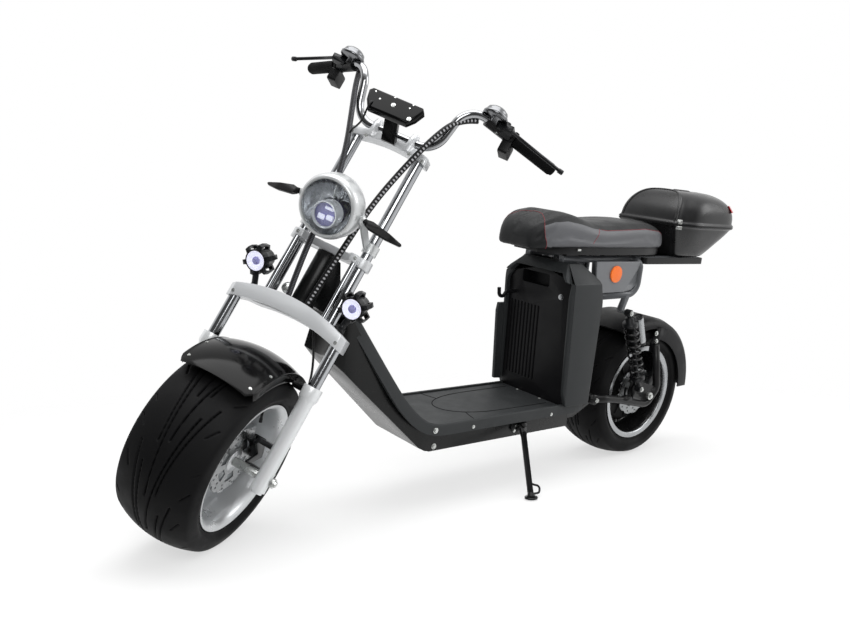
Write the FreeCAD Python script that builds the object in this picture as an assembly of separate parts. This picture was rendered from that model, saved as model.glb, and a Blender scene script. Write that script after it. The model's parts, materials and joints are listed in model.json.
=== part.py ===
"""Fat-tyred electric motor scooter, parked on its side stand with the steering turned to its left stop.

Chassis frame: X forward, Y to the rider's left, Z up, origin on the ground below the rear axle, upright.
Fork frame: origin at the front wheel's centre, Z up along the steering axis, X forward, Y left.
All sizes are in millimetres. The whole machine is then turned, pitched and leaned until both tyres and the
stand's foot touch the ground, and moved so that the origin is at the middle of its box, on the ground.
"""
import FreeCAD, Part
import math
import os

V = FreeCAD.Vector

# Wheels: 215/40-12 tyres on 12 inch rims
TYRE_RADIUS = 238.5
TYRE_HALF_WIDTH = 107.5
TREAD_HALF_WIDTH = 97.0
TREAD_DROP = 20.0          # how much lower the shoulder is than the crown
RIM_RADIUS = TYRE_RADIUS - 71.5
RIM_HALF_WIDTH = 97.0
RIM_LIP = 6.0
BARREL_RADIUS = RIM_RADIUS - 21.0
BARREL_WALL = 5.0
WHEELBASE = 1560.0
AXLE_HEIGHT = 238.5        # both axles' height in the chassis frame
HUB_RADIUS = 34.0
AXLE_RADIUS = 7.5
AXLE_PLAY = 0.5            # radial running clearance between an axle and its wheel
SPOKES = 10
DISC_RADIUS = 86.0
DISC_THICKNESS = 4.0
DISC_OFFSET = 58.0         # the front brake disc's distance from the wheel's middle plane
REAR_DISC_OFFSET = 76.0
MOTOR_RADIUS = BARREL_RADIUS - 28.0
MOTOR_HALF_WIDTH = 46.0

# Steering
RAKE = 29.0
STEER_X = -34.0            # the steering axis in the fork frame, behind the wheel's centre
STEER_REST = 35.0          # turned left, onto its stop
LEAN = 9.6                 # to the left, onto the side stand
STEM_RADIUS = 13.0
STEM_PLAY = 0.5
HEAD_RADIUS = 30.0
HEAD_GAP = 2.0             # between the head tube's ends and the clamps

# Fork, in the fork frame
LEG_Y = 149.0
LEG_X = 5.0
LEG_RADIUS = 19.0
LEG_FOOT = -32.0
LEG_TOP = 216.0
COLLAR_RADIUS = 24.5
COLLAR_HEIGHT = 28.0
STANCHION_RADIUS = 15.0
STANCHION_FOOT = 200.0     # inside the lower leg
CLAMP_END_Y = 168.0
CLAMP_END_BOTTOM = 342.0
CLAMP_END_TOP = 376.0
CLAMP_MID_BOTTOM = 368.0
CLAMP_MID_TOP = 410.0
CLAMP_FRONT = 28.0
CLAMP_END_BACK = -18.0
CLAMP_MID_BACK = -62.0
TUBE_Y = 92.0
TUBE_RADIUS = 15.0
ROD_Y = 84.0
ROD_X = 2.0
ROD_RADIUS = 7.5
MIDDLE_CLAMP_Z = 556.0
MIDDLE_CLAMP_HEIGHT = 20.0
TOP_CLAMP_Z = 860.0
TOP_CLAMP_HEIGHT = 22.0
TOP_CLAMP_RISE = 16.0
BAR_RADIUS = 11.1
BAR_CENTRE_X = -26.0
BAR_CENTRE_Z = 906.0
BAR_END_Y = 378.0
RISER_Y = 54.0
RISER_RADIUS = 15.0
GRIP_RADIUS = 16.5
GRIP_START = 268.0         # distances along Y from the machine's middle
GRIP_LENGTH = 108.0
LEVER_Y = 246.0
POD_Y = 214.0
POD_RADIUS = 34.0
MIRROR_THREAD_RADIUS = 4.0
MIRROR_THREAD_DEPTH = 14.0
FENDER_RADIUS = TYRE_RADIUS + 19.5   # inner radius of the front mudguard
FENDER_WALL = 3.5
FENDER_HALF_WIDTH = 101.0
FENDER_FRONT = 38.0        # degrees above the fork frame's X axis
FENDER_REAR = 118.0
HEADLAMP_RADIUS = 79.0
HEADLAMP_X = 112.0
HEADLAMP_Z = 634.0
FOG_Y = 142.0
FOG_X = 12.0
FOG_Z = 453.0
FOG_RADIUS = 29.0
FOG_CLAW_RADIUS = 42.0
FOG_FOOT = (-20.0, 125.0)  # on the lower clamp: X, Y
DISPLAY_HALF_WIDTH = 79.0
FIT_GAP = 0.3              # between curved faces that meet on different pieces

# Chassis
BEAM_BOTTOM = 165.0
BEAM_TOP = 238.0
BEAM_HALF_WIDTH = 105.0
BEAM_REAR = 372.0
BEAM_WALL = 4.0
NECK_HALF_WIDTH = 76.0
DECK_HALF_WIDTH = 140.0
DECK_REAR = 332.0
DECK_THICKNESS = 13.0
PIVOT_X = 266.0
PIVOT_Z = 246.0
PIVOT_RADIUS = 12.0
HOUSING_HALF_WIDTH = 150.0
HOUSING_TOP = 698.0
HOUSING_WALL = 6.0
PACK_HALF_WIDTH = 134.0
RAIL_Y = 72.0
RAIL_SIZE = 20.0
SEAT_HALF_WIDTH = 126.0
TRAY_FRONT = 86.0
TRAY_REAR = -255.0
TRAY_HALF_WIDTH = 100.0
TRAY_WALL = 4.0
TRAY_TOP = 716.0
PAN_BOTTOM = 726.0
PAN_TOP = 750.0
LOOP_Y = 112.0
LOOP_RADIUS = 12.0
ARM_Y = 134.0
ARM_RADIUS = 13.0
SHOCK_Y = 134.0
SHOCK_TOP = (196.0, 543.0)
SHOCK_FOOT = (74.0, 274.0)
GUARD_RADIUS = TYRE_RADIUS + 25.5    # inner radius of the rear mudguard
GUARD_WALL = 4.0
GUARD_HALF_WIDTH = 120.0
BOX_SEAM = 832.0
BOX_WALL = 4.0
BOX_FRONT = -18.0
LID_GAP = 1.0
STAND_PIVOT = (602.0, 126.0, 205.0)
STAND_FORWARD = 72.0       # the foot stands this far ahead of the pivot
STAND_OUT = 135.0
STAND_LEG_RADIUS = 9.0
FOOT_THICKNESS = 5.0


def vec(x, y, z):
    return V(float(x), float(y), float(z))


def box(x0, x1, y0, y1, z0, z1):
    return Part.makeBox(x1 - x0, y1 - y0, z1 - z0, vec(x0, y0, z0))


def rod(start, end, radius):
    a, b = vec(*start), vec(*end)
    return Part.makeCylinder(radius, (b - a).Length, a, b - a)


def bar_y(x, z, y0, y1, radius):
    return rod((x, y0, z), (x, y1, z), radius)


def outline_wire(points):
    """A closed wire through corner points, in order."""
    corners = [vec(*p) for p in points]
    return Part.makePolygon(corners + corners[:1])


def slab_y(side_points, y0, y1):
    """A side outline of (x, z) points, made solid from y0 to y1."""
    face = Part.Face(outline_wire([(x, y0, z) for x, z in side_points]))
    return face.extrude(vec(0, y1 - y0, 0))


def slab_z(plan_points, z0, z1):
    """A plan outline of (x, y) points, made solid from z0 to z1."""
    face = Part.Face(outline_wire([(x, y, z0) for x, y in plan_points]))
    return face.extrude(vec(0, 0, z1 - z0))


def slab_x(front_points, x0, x1):
    """A front outline of (y, z) points, made solid from x0 to x1."""
    face = Part.Face(outline_wire([(x0, y, z) for y, z in front_points]))
    return face.extrude(vec(x1 - x0, 0, 0))


def bent_tube(points, radius, bend=None):
    """A round bar along straight runs joined by arcs that touch them. bend is the arcs' radius."""
    corners = [vec(*p) for p in points]
    edges, last = [], corners[0]
    for before, here, after in zip(corners, corners[1:], corners[2:]):
        back, on = (before - here).normalize(), (after - here).normalize()
        half_turn = (math.pi - back.getAngle(on)) / 2
        shorter = min((before - here).Length, (after - here).Length)
        turn_radius = min(bend or 1e9, 0.45 * shorter / math.tan(half_turn))
        reach = turn_radius * math.tan(half_turn)
        start, end = here + back * reach, here + on * reach
        middle_way = (back + on).normalize()
        middle = here + middle_way * (turn_radius / math.cos(half_turn) - turn_radius)
        if (start - last).Length > 0.01:
            edges.append(Part.LineSegment(last, start).toShape())
        edges.append(Part.Arc(start, middle, end).toShape())
        last = end
    edges.append(Part.LineSegment(last, corners[-1]).toShape())
    path = Part.Wire(edges)
    profile = Part.Wire(Part.makeCircle(radius, corners[0], corners[1] - corners[0]))
    return path.makePipeShell([profile], True, False)


def mirror_y(shape):
    return shape.mirror(vec(0, 0, 0), vec(0, 1, 0))


def rounded(shape, radius, wanted):
    """Fillets the edges that wanted(edge) picks."""
    edges = [e for e in shape.Edges if wanted(e)]
    return shape.makeFillet(radius, edges) if edges else shape


def largest(shape):
    """The largest of a shape's solids."""
    return max(shape.Solids, key=lambda solid: solid.Volume)


def along_y(edge):
    ends = [v.Point for v in edge.Vertexes]
    return len(ends) == 2 and abs(ends[0].x - ends[1].x) + abs(ends[0].z - ends[1].z) < 1e-6


def along_z(edge):
    ends = [v.Point for v in edge.Vertexes]
    return len(ends) == 2 and abs(ends[0].x - ends[1].x) + abs(ends[0].y - ends[1].y) < 1e-6


def ring_y(profile, centre_x, centre_z):
    """A ring turned about a wheel's axle from a closed profile of (y, radius) points."""
    face = Part.Face(outline_wire([(centre_x, y, centre_z + r) for y, r in profile]))
    return face.revolve(vec(centre_x, 0, centre_z), vec(0, 1, 0), 360)


def union(shapes):
    return shapes[0].multiFuse(shapes[1:]).removeSplitter() if len(shapes) > 1 else shapes[0]


# Wheels, about the Y axis through (0, 0, 0)

def tyre():
    crown, shoulder = vec(0, 0, TYRE_RADIUS), TYRE_RADIUS - TREAD_DROP
    bead_y, bead_r = RIM_HALF_WIDTH - RIM_LIP, RIM_RADIUS - 2 * RIM_LIP
    bulge = (TYRE_HALF_WIDTH, (shoulder + RIM_RADIUS) / 2)
    edges = [
        Part.Arc(vec(0, -TREAD_HALF_WIDTH, shoulder), crown, vec(0, TREAD_HALF_WIDTH, shoulder)).toShape(),
        Part.Arc(vec(0, TREAD_HALF_WIDTH, shoulder), vec(0, *bulge), vec(0, bead_y, RIM_RADIUS)).toShape(),
        Part.LineSegment(vec(0, bead_y, RIM_RADIUS), vec(0, bead_y, bead_r)).toShape(),
        Part.LineSegment(vec(0, bead_y, bead_r), vec(0, -bead_y, bead_r)).toShape(),
        Part.LineSegment(vec(0, -bead_y, bead_r), vec(0, -bead_y, RIM_RADIUS)).toShape(),
        Part.Arc(vec(0, -bead_y, RIM_RADIUS), vec(0, -bulge[0], bulge[1]),
                 vec(0, -TREAD_HALF_WIDTH, shoulder)).toShape(),
    ]
    return Part.Face(Part.Wire(edges)).revolve(vec(0, 0, 0), vec(0, 1, 0), 360)


def tyre_reach(down_along_axle):
    """How far the tyre reaches from its centre along a direction with that share along its axle."""
    across = math.sqrt(max(0.0, 1 - down_along_axle ** 2))
    sagitta, half = TREAD_DROP, TREAD_HALF_WIDTH
    crown_radius = (half ** 2 + sagitta ** 2) / (2 * sagitta)
    reach = 0.0
    for step in range(101):
        y = half * step / 100
        r = TYRE_RADIUS - crown_radius + math.sqrt(crown_radius ** 2 - y ** 2)
        reach = max(reach, y * abs(down_along_axle) + r * across)
    return reach


def rim_barrel():
    """The rim's deep-dished barrel with its two lips, under the tyre."""
    seat = RIM_RADIUS - 2 * RIM_LIP
    outer = [(-RIM_HALF_WIDTH, RIM_RADIUS), (-RIM_HALF_WIDTH + RIM_LIP, RIM_RADIUS),
             (-RIM_HALF_WIDTH + RIM_LIP, seat), (RIM_HALF_WIDTH - RIM_LIP, seat),
             (RIM_HALF_WIDTH - RIM_LIP, RIM_RADIUS), (RIM_HALF_WIDTH, RIM_RADIUS)]
    inner = [(RIM_HALF_WIDTH, RIM_RADIUS - 5), (RIM_HALF_WIDTH - 14, seat - BARREL_WALL),
             (30, BARREL_RADIUS - BARREL_WALL), (-30, BARREL_RADIUS - BARREL_WALL),
             (-RIM_HALF_WIDTH + 14, seat - BARREL_WALL), (-RIM_HALF_WIDTH, RIM_RADIUS - 5)]
    return ring_y(outer + inner, 0, 0)


def front_rim():
    """Barrel, hub and twisted flat spokes cast in one."""
    bore, seat = AXLE_RADIUS + AXLE_PLAY, DISC_OFFSET - DISC_THICKNESS / 2
    hub = ring_y([(-54, bore), (-54, HUB_RADIUS), (seat, HUB_RADIUS), (seat, HUB_RADIUS - 6),
                  (seat + 6, HUB_RADIUS - 6), (seat + 6, bore)], 0, 0)
    web_outer = BARREL_RADIUS - BARREL_WALL + 2
    spoke = slab_z([(HUB_RADIUS - 4, -20), (web_outer, -24), (web_outer, 24), (HUB_RADIUS - 4, 20)], -8, 8)
    spoke = rounded(spoke, 5, lambda e: abs(e.BoundBox.XLength) > 60)
    spokes = [spoke.rotated(vec(0, 0, 0), vec(0, 1, 0), n * 360 / SPOKES) for n in range(SPOKES)]
    return union([rim_barrel(), hub] + spokes)


def rear_rim():
    """The rear barrel, carried on the hub motor by a ring."""
    ring = ring_y([(-12, MOTOR_RADIUS), (-12, BARREL_RADIUS - BARREL_WALL + 2),
                   (12, BARREL_RADIUS - BARREL_WALL + 2), (12, MOTOR_RADIUS)], 0, 0)
    windows = [bar_y(0, 0, -20, 20, 9).translated(vec((MOTOR_RADIUS + BARREL_RADIUS) / 2 - 3, 0, 0))
               .rotated(vec(0, 0, 0), vec(0, 1, 0), n * 30) for n in range(12)]
    return union([rim_barrel(), ring.cut(Part.makeCompound(windows))])


def hub_motor():
    """The hub motor's drum: domed covers, cooling ribs and a bore for its fixed axle."""
    bore = AXLE_RADIUS + AXLE_PLAY
    half = MOTOR_HALF_WIDTH
    seat = REAR_DISC_OFFSET - DISC_THICKNESS / 2
    profile = [(-half - 8, bore), (-half - 8, 30), (-half, 44), (-half, MOTOR_RADIUS - 12),
               (-half + 10, MOTOR_RADIUS), (half - 10, MOTOR_RADIUS), (half, MOTOR_RADIUS - 12),
               (half, 60), (half + 10, 44), (seat, 44), (seat, 36), (seat + 6, 36), (seat + 6, bore)]
    drum = ring_y(profile, 0, 0)
    rib = box(46, MOTOR_RADIUS - 16, -half - 4, half + 4, -2.5, 2.5)
    ribs = [rib.rotated(vec(0, 0, 0), vec(0, 1, 0), n * 30) for n in range(12)]
    return union([drum] + ribs)


def brake_disc(inner, offset):
    """A wavy brake disc on its carrier arms, with drilled holes."""
    half = DISC_THICKNESS / 2
    disc = bar_y(0, 0, -half, half, DISC_RADIUS)
    scallops = [bar_y(DISC_RADIUS + 9, 0, -5, 5, 13).rotated(vec(0, 0, 0), vec(0, 1, 0), n * 30)
                for n in range(12)]
    holes = [bar_y(radius, 0, -5, 5, 3.2).rotated(vec(0, 0, 0), vec(0, 1, 0), n * 30 + turn)
             for n in range(12) for radius, turn in ((DISC_RADIUS - 10, 15), (DISC_RADIUS - 20, 8))]
    windows = []
    for n in range(6):
        low, high = inner + 8, DISC_RADIUS - 28
        window = ring_y([(-5, low), (-5, high), (5, high), (5, low)], 0, 0)
        wedge = slab_y([(0, 0), (90, -30), (90, 30)], -5, 5).rotated(vec(0, 0, 0), vec(0, 1, 0), n * 60)
        windows.append(window.common(wedge))
    disc = disc.cut(Part.makeCompound(scallops + holes + windows)).cut(bar_y(0, 0, -5, 5, inner))
    return disc.translated(vec(0, offset, 0))


# Fork, in the fork frame

def arch_profile(z_mid_low, z_end_low, z_end_high, z_mid_high, half):
    """A front outline arched between its ends, from a lower arc and an upper arc of three points each."""
    low = Part.Arc(vec(0, -half, z_end_low), vec(0, 0, z_mid_low), vec(0, half, z_end_low)).toShape()
    high = Part.Arc(vec(0, half, z_end_high), vec(0, 0, z_mid_high), vec(0, -half, z_end_high)).toShape()
    right = Part.LineSegment(vec(0, half, z_end_low), vec(0, half, z_end_high)).toShape()
    left = Part.LineSegment(vec(0, -half, z_end_high), vec(0, -half, z_end_low)).toShape()
    return Part.Face(Part.Wire([low, right, high, left]))


def stanchion(side):
    return rod((LEG_X, side * LEG_Y, STANCHION_FOOT), (LEG_X, side * LEG_Y, CLAMP_END_BOTTOM + 24),
               STANCHION_RADIUS)


def upper_tube(side):
    return rod((STEER_X, side * TUBE_Y, CLAMP_MID_BOTTOM + 20),
               (STEER_X, side * TUBE_Y, TOP_CLAMP_Z + 10), TUBE_RADIUS)


def chrome_rod(side):
    return rod((ROD_X, side * ROD_Y, CLAMP_MID_BOTTOM + 20),
               (ROD_X, side * ROD_Y, MIDDLE_CLAMP_Z + 8), ROD_RADIUS)


def fork_tubes():
    """Stanchions, slim front rods and main tubes: all the chromed round bars."""
    tubes = []
    for side in (-1, 1):
        tubes += [stanchion(side), upper_tube(side), chrome_rod(side)]
    return Part.makeCompound(tubes)


def steering_stem():
    return rod((STEER_X, 0, CLAMP_MID_BOTTOM + 10),
               (STEER_X, 0, MIDDLE_CLAMP_Z + MIDDLE_CLAMP_HEIGHT), STEM_RADIUS)


def lower_clamp():
    """The wide arched clamp over the wheel, with the steering stem pressed in."""
    band = arch_profile(CLAMP_MID_BOTTOM, CLAMP_END_BOTTOM, CLAMP_END_TOP, CLAMP_MID_TOP, CLAMP_END_Y)
    band = band.translated(vec(CLAMP_MID_BACK, 0, 0)).extrude(vec(CLAMP_FRONT - CLAMP_MID_BACK, 0, 0))
    plan = [(CLAMP_FRONT, -CLAMP_END_Y + 14), (CLAMP_FRONT, CLAMP_END_Y - 14),
            (CLAMP_FRONT - 12, CLAMP_END_Y),
            (CLAMP_END_BACK, CLAMP_END_Y), (CLAMP_END_BACK, 124), (CLAMP_MID_BACK, 104),
            (CLAMP_MID_BACK, -104), (CLAMP_END_BACK, -124), (CLAMP_END_BACK, -CLAMP_END_Y),
            (CLAMP_FRONT - 12, -CLAMP_END_Y)]
    band = band.common(slab_z(plan, CLAMP_END_BOTTOM - 10, CLAMP_MID_TOP + 10))
    pocket = slab_z([(CLAMP_FRONT - 12, -104), (CLAMP_FRONT - 12, 104), (-8, 84), (-8, -84)],
                    CLAMP_END_BOTTOM - 10, CLAMP_MID_BOTTOM + 12)
    clamp = band.cut(pocket).cut(fork_tubes())
    return clamp.fuse(steering_stem()).removeSplitter()


def middle_clamp():
    """A plate with a ring round each main tube, above the head tube."""
    x = STEER_X
    z0, z1 = MIDDLE_CLAMP_Z, MIDDLE_CLAMP_Z + MIDDLE_CLAMP_HEIGHT
    plan = [(x - 24, -TUBE_Y), (x - 24, TUBE_Y), (x + 22, TUBE_Y), (ROD_X + 12, ROD_Y + 4),
            (ROD_X + 12, ROD_Y - 14), (x + 20, 50), (x + 20, -50), (ROD_X + 12, -ROD_Y + 14),
            (ROD_X + 12, -ROD_Y - 4), (x + 22, -TUBE_Y)]
    plate = slab_z(plan, z0, z1)
    rings = [rod((x, side * TUBE_Y, z0 - 3), (x, side * TUBE_Y, z1 + 3), TUBE_RADIUS + 9)
             for side in (-1, 1)]
    return union([plate] + rings).cut(fork_tubes()).cut(steering_stem())


def top_clamp():
    """The arched top clamp with its two handlebar risers."""
    half = TUBE_Y + TUBE_RADIUS + 8
    z0, z1 = TOP_CLAMP_Z, TOP_CLAMP_Z + TOP_CLAMP_HEIGHT
    x = STEER_X
    face = arch_profile(z0 + TOP_CLAMP_RISE, z0, z1, z1 + TOP_CLAMP_RISE, half).translated(vec(x - 24, 0, 0))
    arch = rounded(face.extrude(vec(44, 0, 0)), 6, along_z)
    risers = []
    for side in (-1, 1):
        foot = vec(BAR_CENTRE_X, side * RISER_Y, z0 + TOP_CLAMP_RISE)
        pillar = Part.makeCylinder(RISER_RADIUS, BAR_CENTRE_Z + 6 - foot.z, foot)
        cap = Part.makeCone(RISER_RADIUS, RISER_RADIUS - 6, 16, vec(foot.x, foot.y, BAR_CENTRE_Z + 6))
        risers += [pillar, cap]
    clamp = union([arch] + risers)
    return clamp.cut(fork_tubes()).cut(handlebar())


def fork_leg(side):
    """One lower leg: a slider with a collar at its top and a flattened axle foot."""
    y = side * LEG_Y
    leg = rod((LEG_X, y, LEG_FOOT), (LEG_X, y, LEG_TOP), LEG_RADIUS)
    cone = Part.makeCone(LEG_RADIUS, COLLAR_RADIUS, 12, vec(LEG_X, y, LEG_TOP - 14), vec(0, 0, 1))
    collar = rod((LEG_X, y, LEG_TOP - 2), (LEG_X, y, LEG_TOP - 2 + COLLAR_HEIGHT), COLLAR_RADIUS)
    cap = rod((LEG_X, y, LEG_FOOT - 6), (LEG_X, y, LEG_FOOT + 2), LEG_RADIUS - 5)
    leg = union([leg, cone, collar, cap])
    if side > 0:
        lugs = [box(LEG_X - 42, LEG_X - 10, y - 8, y + 6, z, z + 16) for z in (-2, 62)]
        leg = union([leg] + lugs)
    return leg.cut(stanchion(side)).cut(bar_y(0, 0, -200, 200, AXLE_RADIUS))


def front_axle():
    """The spindle with a nut outside each leg and a spacer each side of the hub."""
    outer = LEG_Y + LEG_RADIUS
    axle = bar_y(0, 0, -outer - 14, outer + 14, AXLE_RADIUS)
    parts = [axle]
    for side in (-1, 1):
        nut = bar_y(0, 0, outer, outer + 9, 12)
        spacer = bar_y(0, 0, DISC_OFFSET + 5, LEG_Y - LEG_RADIUS, 11)
        parts += [nut, spacer] if side > 0 else [mirror_y(nut), mirror_y(spacer)]
    return union(parts).cut(fork_leg(1)).cut(fork_leg(-1))


def guard_arc(half, edge_radius, crown_radius):
    """An arched cross section of a guard as a polyline of (y, radius) points."""
    points = []
    for step in range(-8, 9):
        share = step / 8
        points.append((share * half, crown_radius - (crown_radius - edge_radius) * share ** 2))
    return points


def front_mudguard():
    """A short crowned guard over the tyre, bolted to brackets on the legs' collars."""
    r, w, t = FENDER_RADIUS, FENDER_HALF_WIDTH, FENDER_WALL
    outer = guard_arc(w, r - 8, r + 9 + t)
    inner = guard_arc(w - t, r - 8, r + 9)
    reach = 2 * r
    corners = [(0, 0)]
    for share in (0, 0.5, 1):
        turn = math.radians(FENDER_FRONT + (FENDER_REAR - FENDER_FRONT) * share)
        corners.append((reach * math.cos(turn), reach * math.sin(turn)))
    sector = slab_y(corners, -w - 5, w + 5)
    guard = ring_y(outer + inner[::-1], 0, 0).common(sector)
    side = ring_y([(w - t, r - 30), (w - t, r - 6), (w, r - 6), (w, r - 30)], 0, 0).common(sector)
    for angle, way in ((FENDER_FRONT, -1), (FENDER_REAR, 1)):
        off = slab_z([(way * x, y) for x, y in ((-4, w - 15), (2, w - 12), (12, w - 5), (26, w + 1),
                                                (26, w + 30),
                                                (-4, w + 30))], r - 40, r + 40)
        off = off.rotated(vec(0, 0, 0), vec(0, 1, 0), 90 - angle)
        guard, side = guard.cut(off).cut(mirror_y(off)), side.cut(off)
    bracket = box(-8, 18, w - 1, LEG_Y, LEG_TOP + 4, LEG_TOP + 20)
    bracket = bracket.cut(rod((LEG_X, LEG_Y, 100), (LEG_X, LEG_Y, 300), COLLAR_RADIUS))
    bracket = max(bracket.Solids, key=lambda s: -s.BoundBox.YMin)
    return union([guard, side, mirror_y(side), bracket, mirror_y(bracket)])


def caliper(x, z, turn, offset):
    """A two-piston brake caliper astride the disc, at (x, z) beside the wheel, turned by turn degrees."""
    half = DISC_THICKNESS / 2 + 1.5
    block = box(-24, 24, offset - 18, offset + 22, -16, 20)
    slot = box(-30, 30, offset - half, offset + half, -20, 12)
    pistons = [bar_y(dx, 0, offset + 20, offset + 28, 11) for dx in (-12, 12)]
    body = union([rounded(block, 6, along_y).cut(slot)] + pistons)
    return body.rotated(vec(0, 0, 0), vec(0, 1, 0), turn).translated(vec(x, 0, z))


def front_caliper():
    body = caliper(-66, 46, -55, DISC_OFFSET)
    plate = slab_y([(-84, 30), (-60, 66), (LEG_X - 12, 78), (LEG_X - 12, 60), (-48, 36), (LEG_X - 12, 14),
                    (LEG_X - 12, -2)], DISC_OFFSET + 24, DISC_OFFSET + 30)
    arms = [box(LEG_X - 40, LEG_X - 14, DISC_OFFSET + 24, LEG_Y - 9, z + 2, z + 14) for z in (-2, 62)]
    return union([body, plate] + arms).cut(fork_leg(1)).cut(bar_y(0, 0, 60, 130, 11.5))


def headlamp_turn(shape):
    """Places a lamp made along +X at the headlamp's seat, level when the machine is."""
    return shape.rotated(vec(0, 0, 0), vec(0, 1, 0), RAKE).translated(vec(HEADLAMP_X, 0, HEADLAMP_Z))


def lamp_profile(points):
    """A lamp turned about X from closed (x, radius) points."""
    face = Part.Face(outline_wire([(x, 0, r) for x, r in points]))
    return face.revolve(vec(0, 0, 0), vec(1, 0, 0), 360)


def headlamp_shell():
    """A bowl with a rolled bezel, on two ears that clamp the main tubes."""
    r = HEADLAMP_RADIUS
    bowl = lamp_profile([(-86, 0), (-84, 24), (-74, 48), (-60, 66), (-44, r - 3), (-34, r), (0, r),
                         (9, r - 3), (14, r - 8), (14, r - 12), (4, r - 12), (-34, r - 4), (-56, 62),
                         (-70, 44), (-79, 22),
                         (-81, 0)])
    bowl = headlamp_turn(bowl)
    ears = []
    for side in (-1, 1):
        ring = rod((STEER_X, side * TUBE_Y, 596), (STEER_X, side * TUBE_Y, 622), TUBE_RADIUS + 5)
        ears.append(ring)
        x, z = HEADLAMP_X - 18, HEADLAMP_Z + 9
        arm = slab_y([(STEER_X + 14, 598), (STEER_X + 14, 620), (x - 14, z + 9), (x, z + 13),
                      (x + 12, z + 4), (x + 10, z - 10), (x - 8, z - 14)], r + 2, r + 8)
        ears.append(arm if side > 0 else mirror_y(arm))
        boss = bar_y(x, z, r - 6, r + 13, 8)
        ears.append(boss if side > 0 else mirror_y(boss))
    return union([bowl] + ears).cut(fork_tubes()).cut(headlamp_lens_solid())


def headlamp_lens_solid():
    r = HEADLAMP_RADIUS
    return headlamp_turn(lamp_profile([(4, 0), (4, r - 12), (11, r - 12), (16, r - 22), (21, 30), (23, 0)]))


def fog_turn(shape, side):
    return shape.rotated(vec(0, 0, 0), vec(0, 1, 0), RAKE).translated(vec(FOG_X, side * FOG_Y, FOG_Z))


def fog_lamp(side):
    """A small round spot lamp in a cage of looped claws, on a swivel foot."""
    r, reach = FOG_RADIUS, FOG_CLAW_RADIUS
    body = lamp_profile([(-58, 0), (-58, 15), (-50, 22), (-26, r - 4), (-10, r), (8, r), (8, r - 4),
                         (2, r - 5),
                         (2, 0)])
    loop = [(-40, r - 6), (-34, reach - 3), (-14, reach), (4, reach - 2), (10, r - 1)]
    hole = [(-32, r - 2), (-28, reach - 6), (-13, reach - 4), (0, reach - 6), (2, r + 1)]
    claws = []
    for n in range(6):
        claw = slab_y(loop, -6, 6).cut(slab_y(hole, -7, 7))
        claws.append(claw.rotated(vec(0, 0, 0), vec(1, 0, 0), 60 * n))
    lamp = fog_turn(union([body] + claws), side)
    x, y = FOG_FOOT[0], side * FOG_FOOT[1]
    seat = arch_top(FOG_FOOT[1])
    foot = rod((x, y, seat - 6), (FOG_X - 18, side * FOG_Y, FOG_Z - 14), 8)
    base = rod((x, y, seat - 6), (x, y, seat + 7), 15)
    return largest(union([lamp, foot, base]).cut(lower_clamp()).cut(fog_lens(side)))


def arch_top(y):
    """Height of the lower clamp's upper arc at y."""
    rise = CLAMP_MID_TOP - CLAMP_END_TOP
    radius = (CLAMP_END_Y ** 2 + rise ** 2) / (2 * rise)
    return CLAMP_MID_TOP - radius + math.sqrt(radius ** 2 - y ** 2)


def fog_lens(side):
    r = FOG_RADIUS
    return fog_turn(lamp_profile([(2, 0), (2, r - 5), (8, r - 4), (12, r - 10), (14, 0)]), side)


def turn_signal(side):
    """A leaf-shaped indicator that sweeps back from the headlamp's ear."""
    leaf = slab_x([(0, -7), (16, -12), (62, -10), (98, -4), (101, 0), (98, 4), (62, 9), (16, 11), (0, 6)],
                  -6, 6)
    leaf = rounded(leaf, 3, lambda e: e.BoundBox.XLength < 0.1 and e.BoundBox.YLength > 20)
    x, y, z = HEADLAMP_X - 11, HEADLAMP_RADIUS + 18, HEADLAMP_Z + 6
    leaf = leaf.rotated(vec(0, 0, 0), vec(1, 0, 0), -5).rotated(vec(0, 0, 0), vec(0, 0, 1), 21)
    stalk = rod((HEADLAMP_X - 18, HEADLAMP_RADIUS + 10, HEADLAMP_Z + 9), (x - 2, y + 6, z), 7)
    whole = union([leaf.translated(vec(x, y, z)), stalk])
    whole = whole if side > 0 else mirror_y(whole)
    return largest(whole.cut(headlamp_shell()))


# The handlebar's left half: middle, low bend, high bend and end
BAR_PATH = [(BAR_CENTRE_X, 0, BAR_CENTRE_Z), (BAR_CENTRE_X, 116, BAR_CENTRE_Z),
            (BAR_CENTRE_X + 30, 148, 1046), (-164, BAR_END_Y, 1038)]


def bar_point(y):
    """The point at y on the handlebar's outer run, where the controls sit."""
    (x0, y0, z0), (x1, y1, z1) = BAR_PATH[-2], BAR_PATH[-1]
    share = (y - y0) / (y1 - y0)
    return (x0 + (x1 - x0) * share, y, z0 + (z1 - z0) * share)


def handlebar_left():
    return bent_tube(BAR_PATH, BAR_RADIUS, 60)


def handlebar():
    return union([handlebar_left(), mirror_y(handlebar_left())])


def on_bar(y0, y1, radius):
    """A round piece on the left grip's axis between two distances from the middle."""
    return rod(bar_point(y0), bar_point(y1), radius)


def grip(side):
    start, stop = GRIP_START, GRIP_START + GRIP_LENGTH
    sleeve = on_bar(start, stop, GRIP_RADIUS)
    flange = on_bar(start - 2, start + 3, GRIP_RADIUS + 5)
    end = on_bar(stop - 1, stop + 6, GRIP_RADIUS - 2.5)
    whole = union([sleeve, flange, end]).cut(handlebar_left()).cut(control_pod(1))
    return whole if side > 0 else mirror_y(whole)


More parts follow.
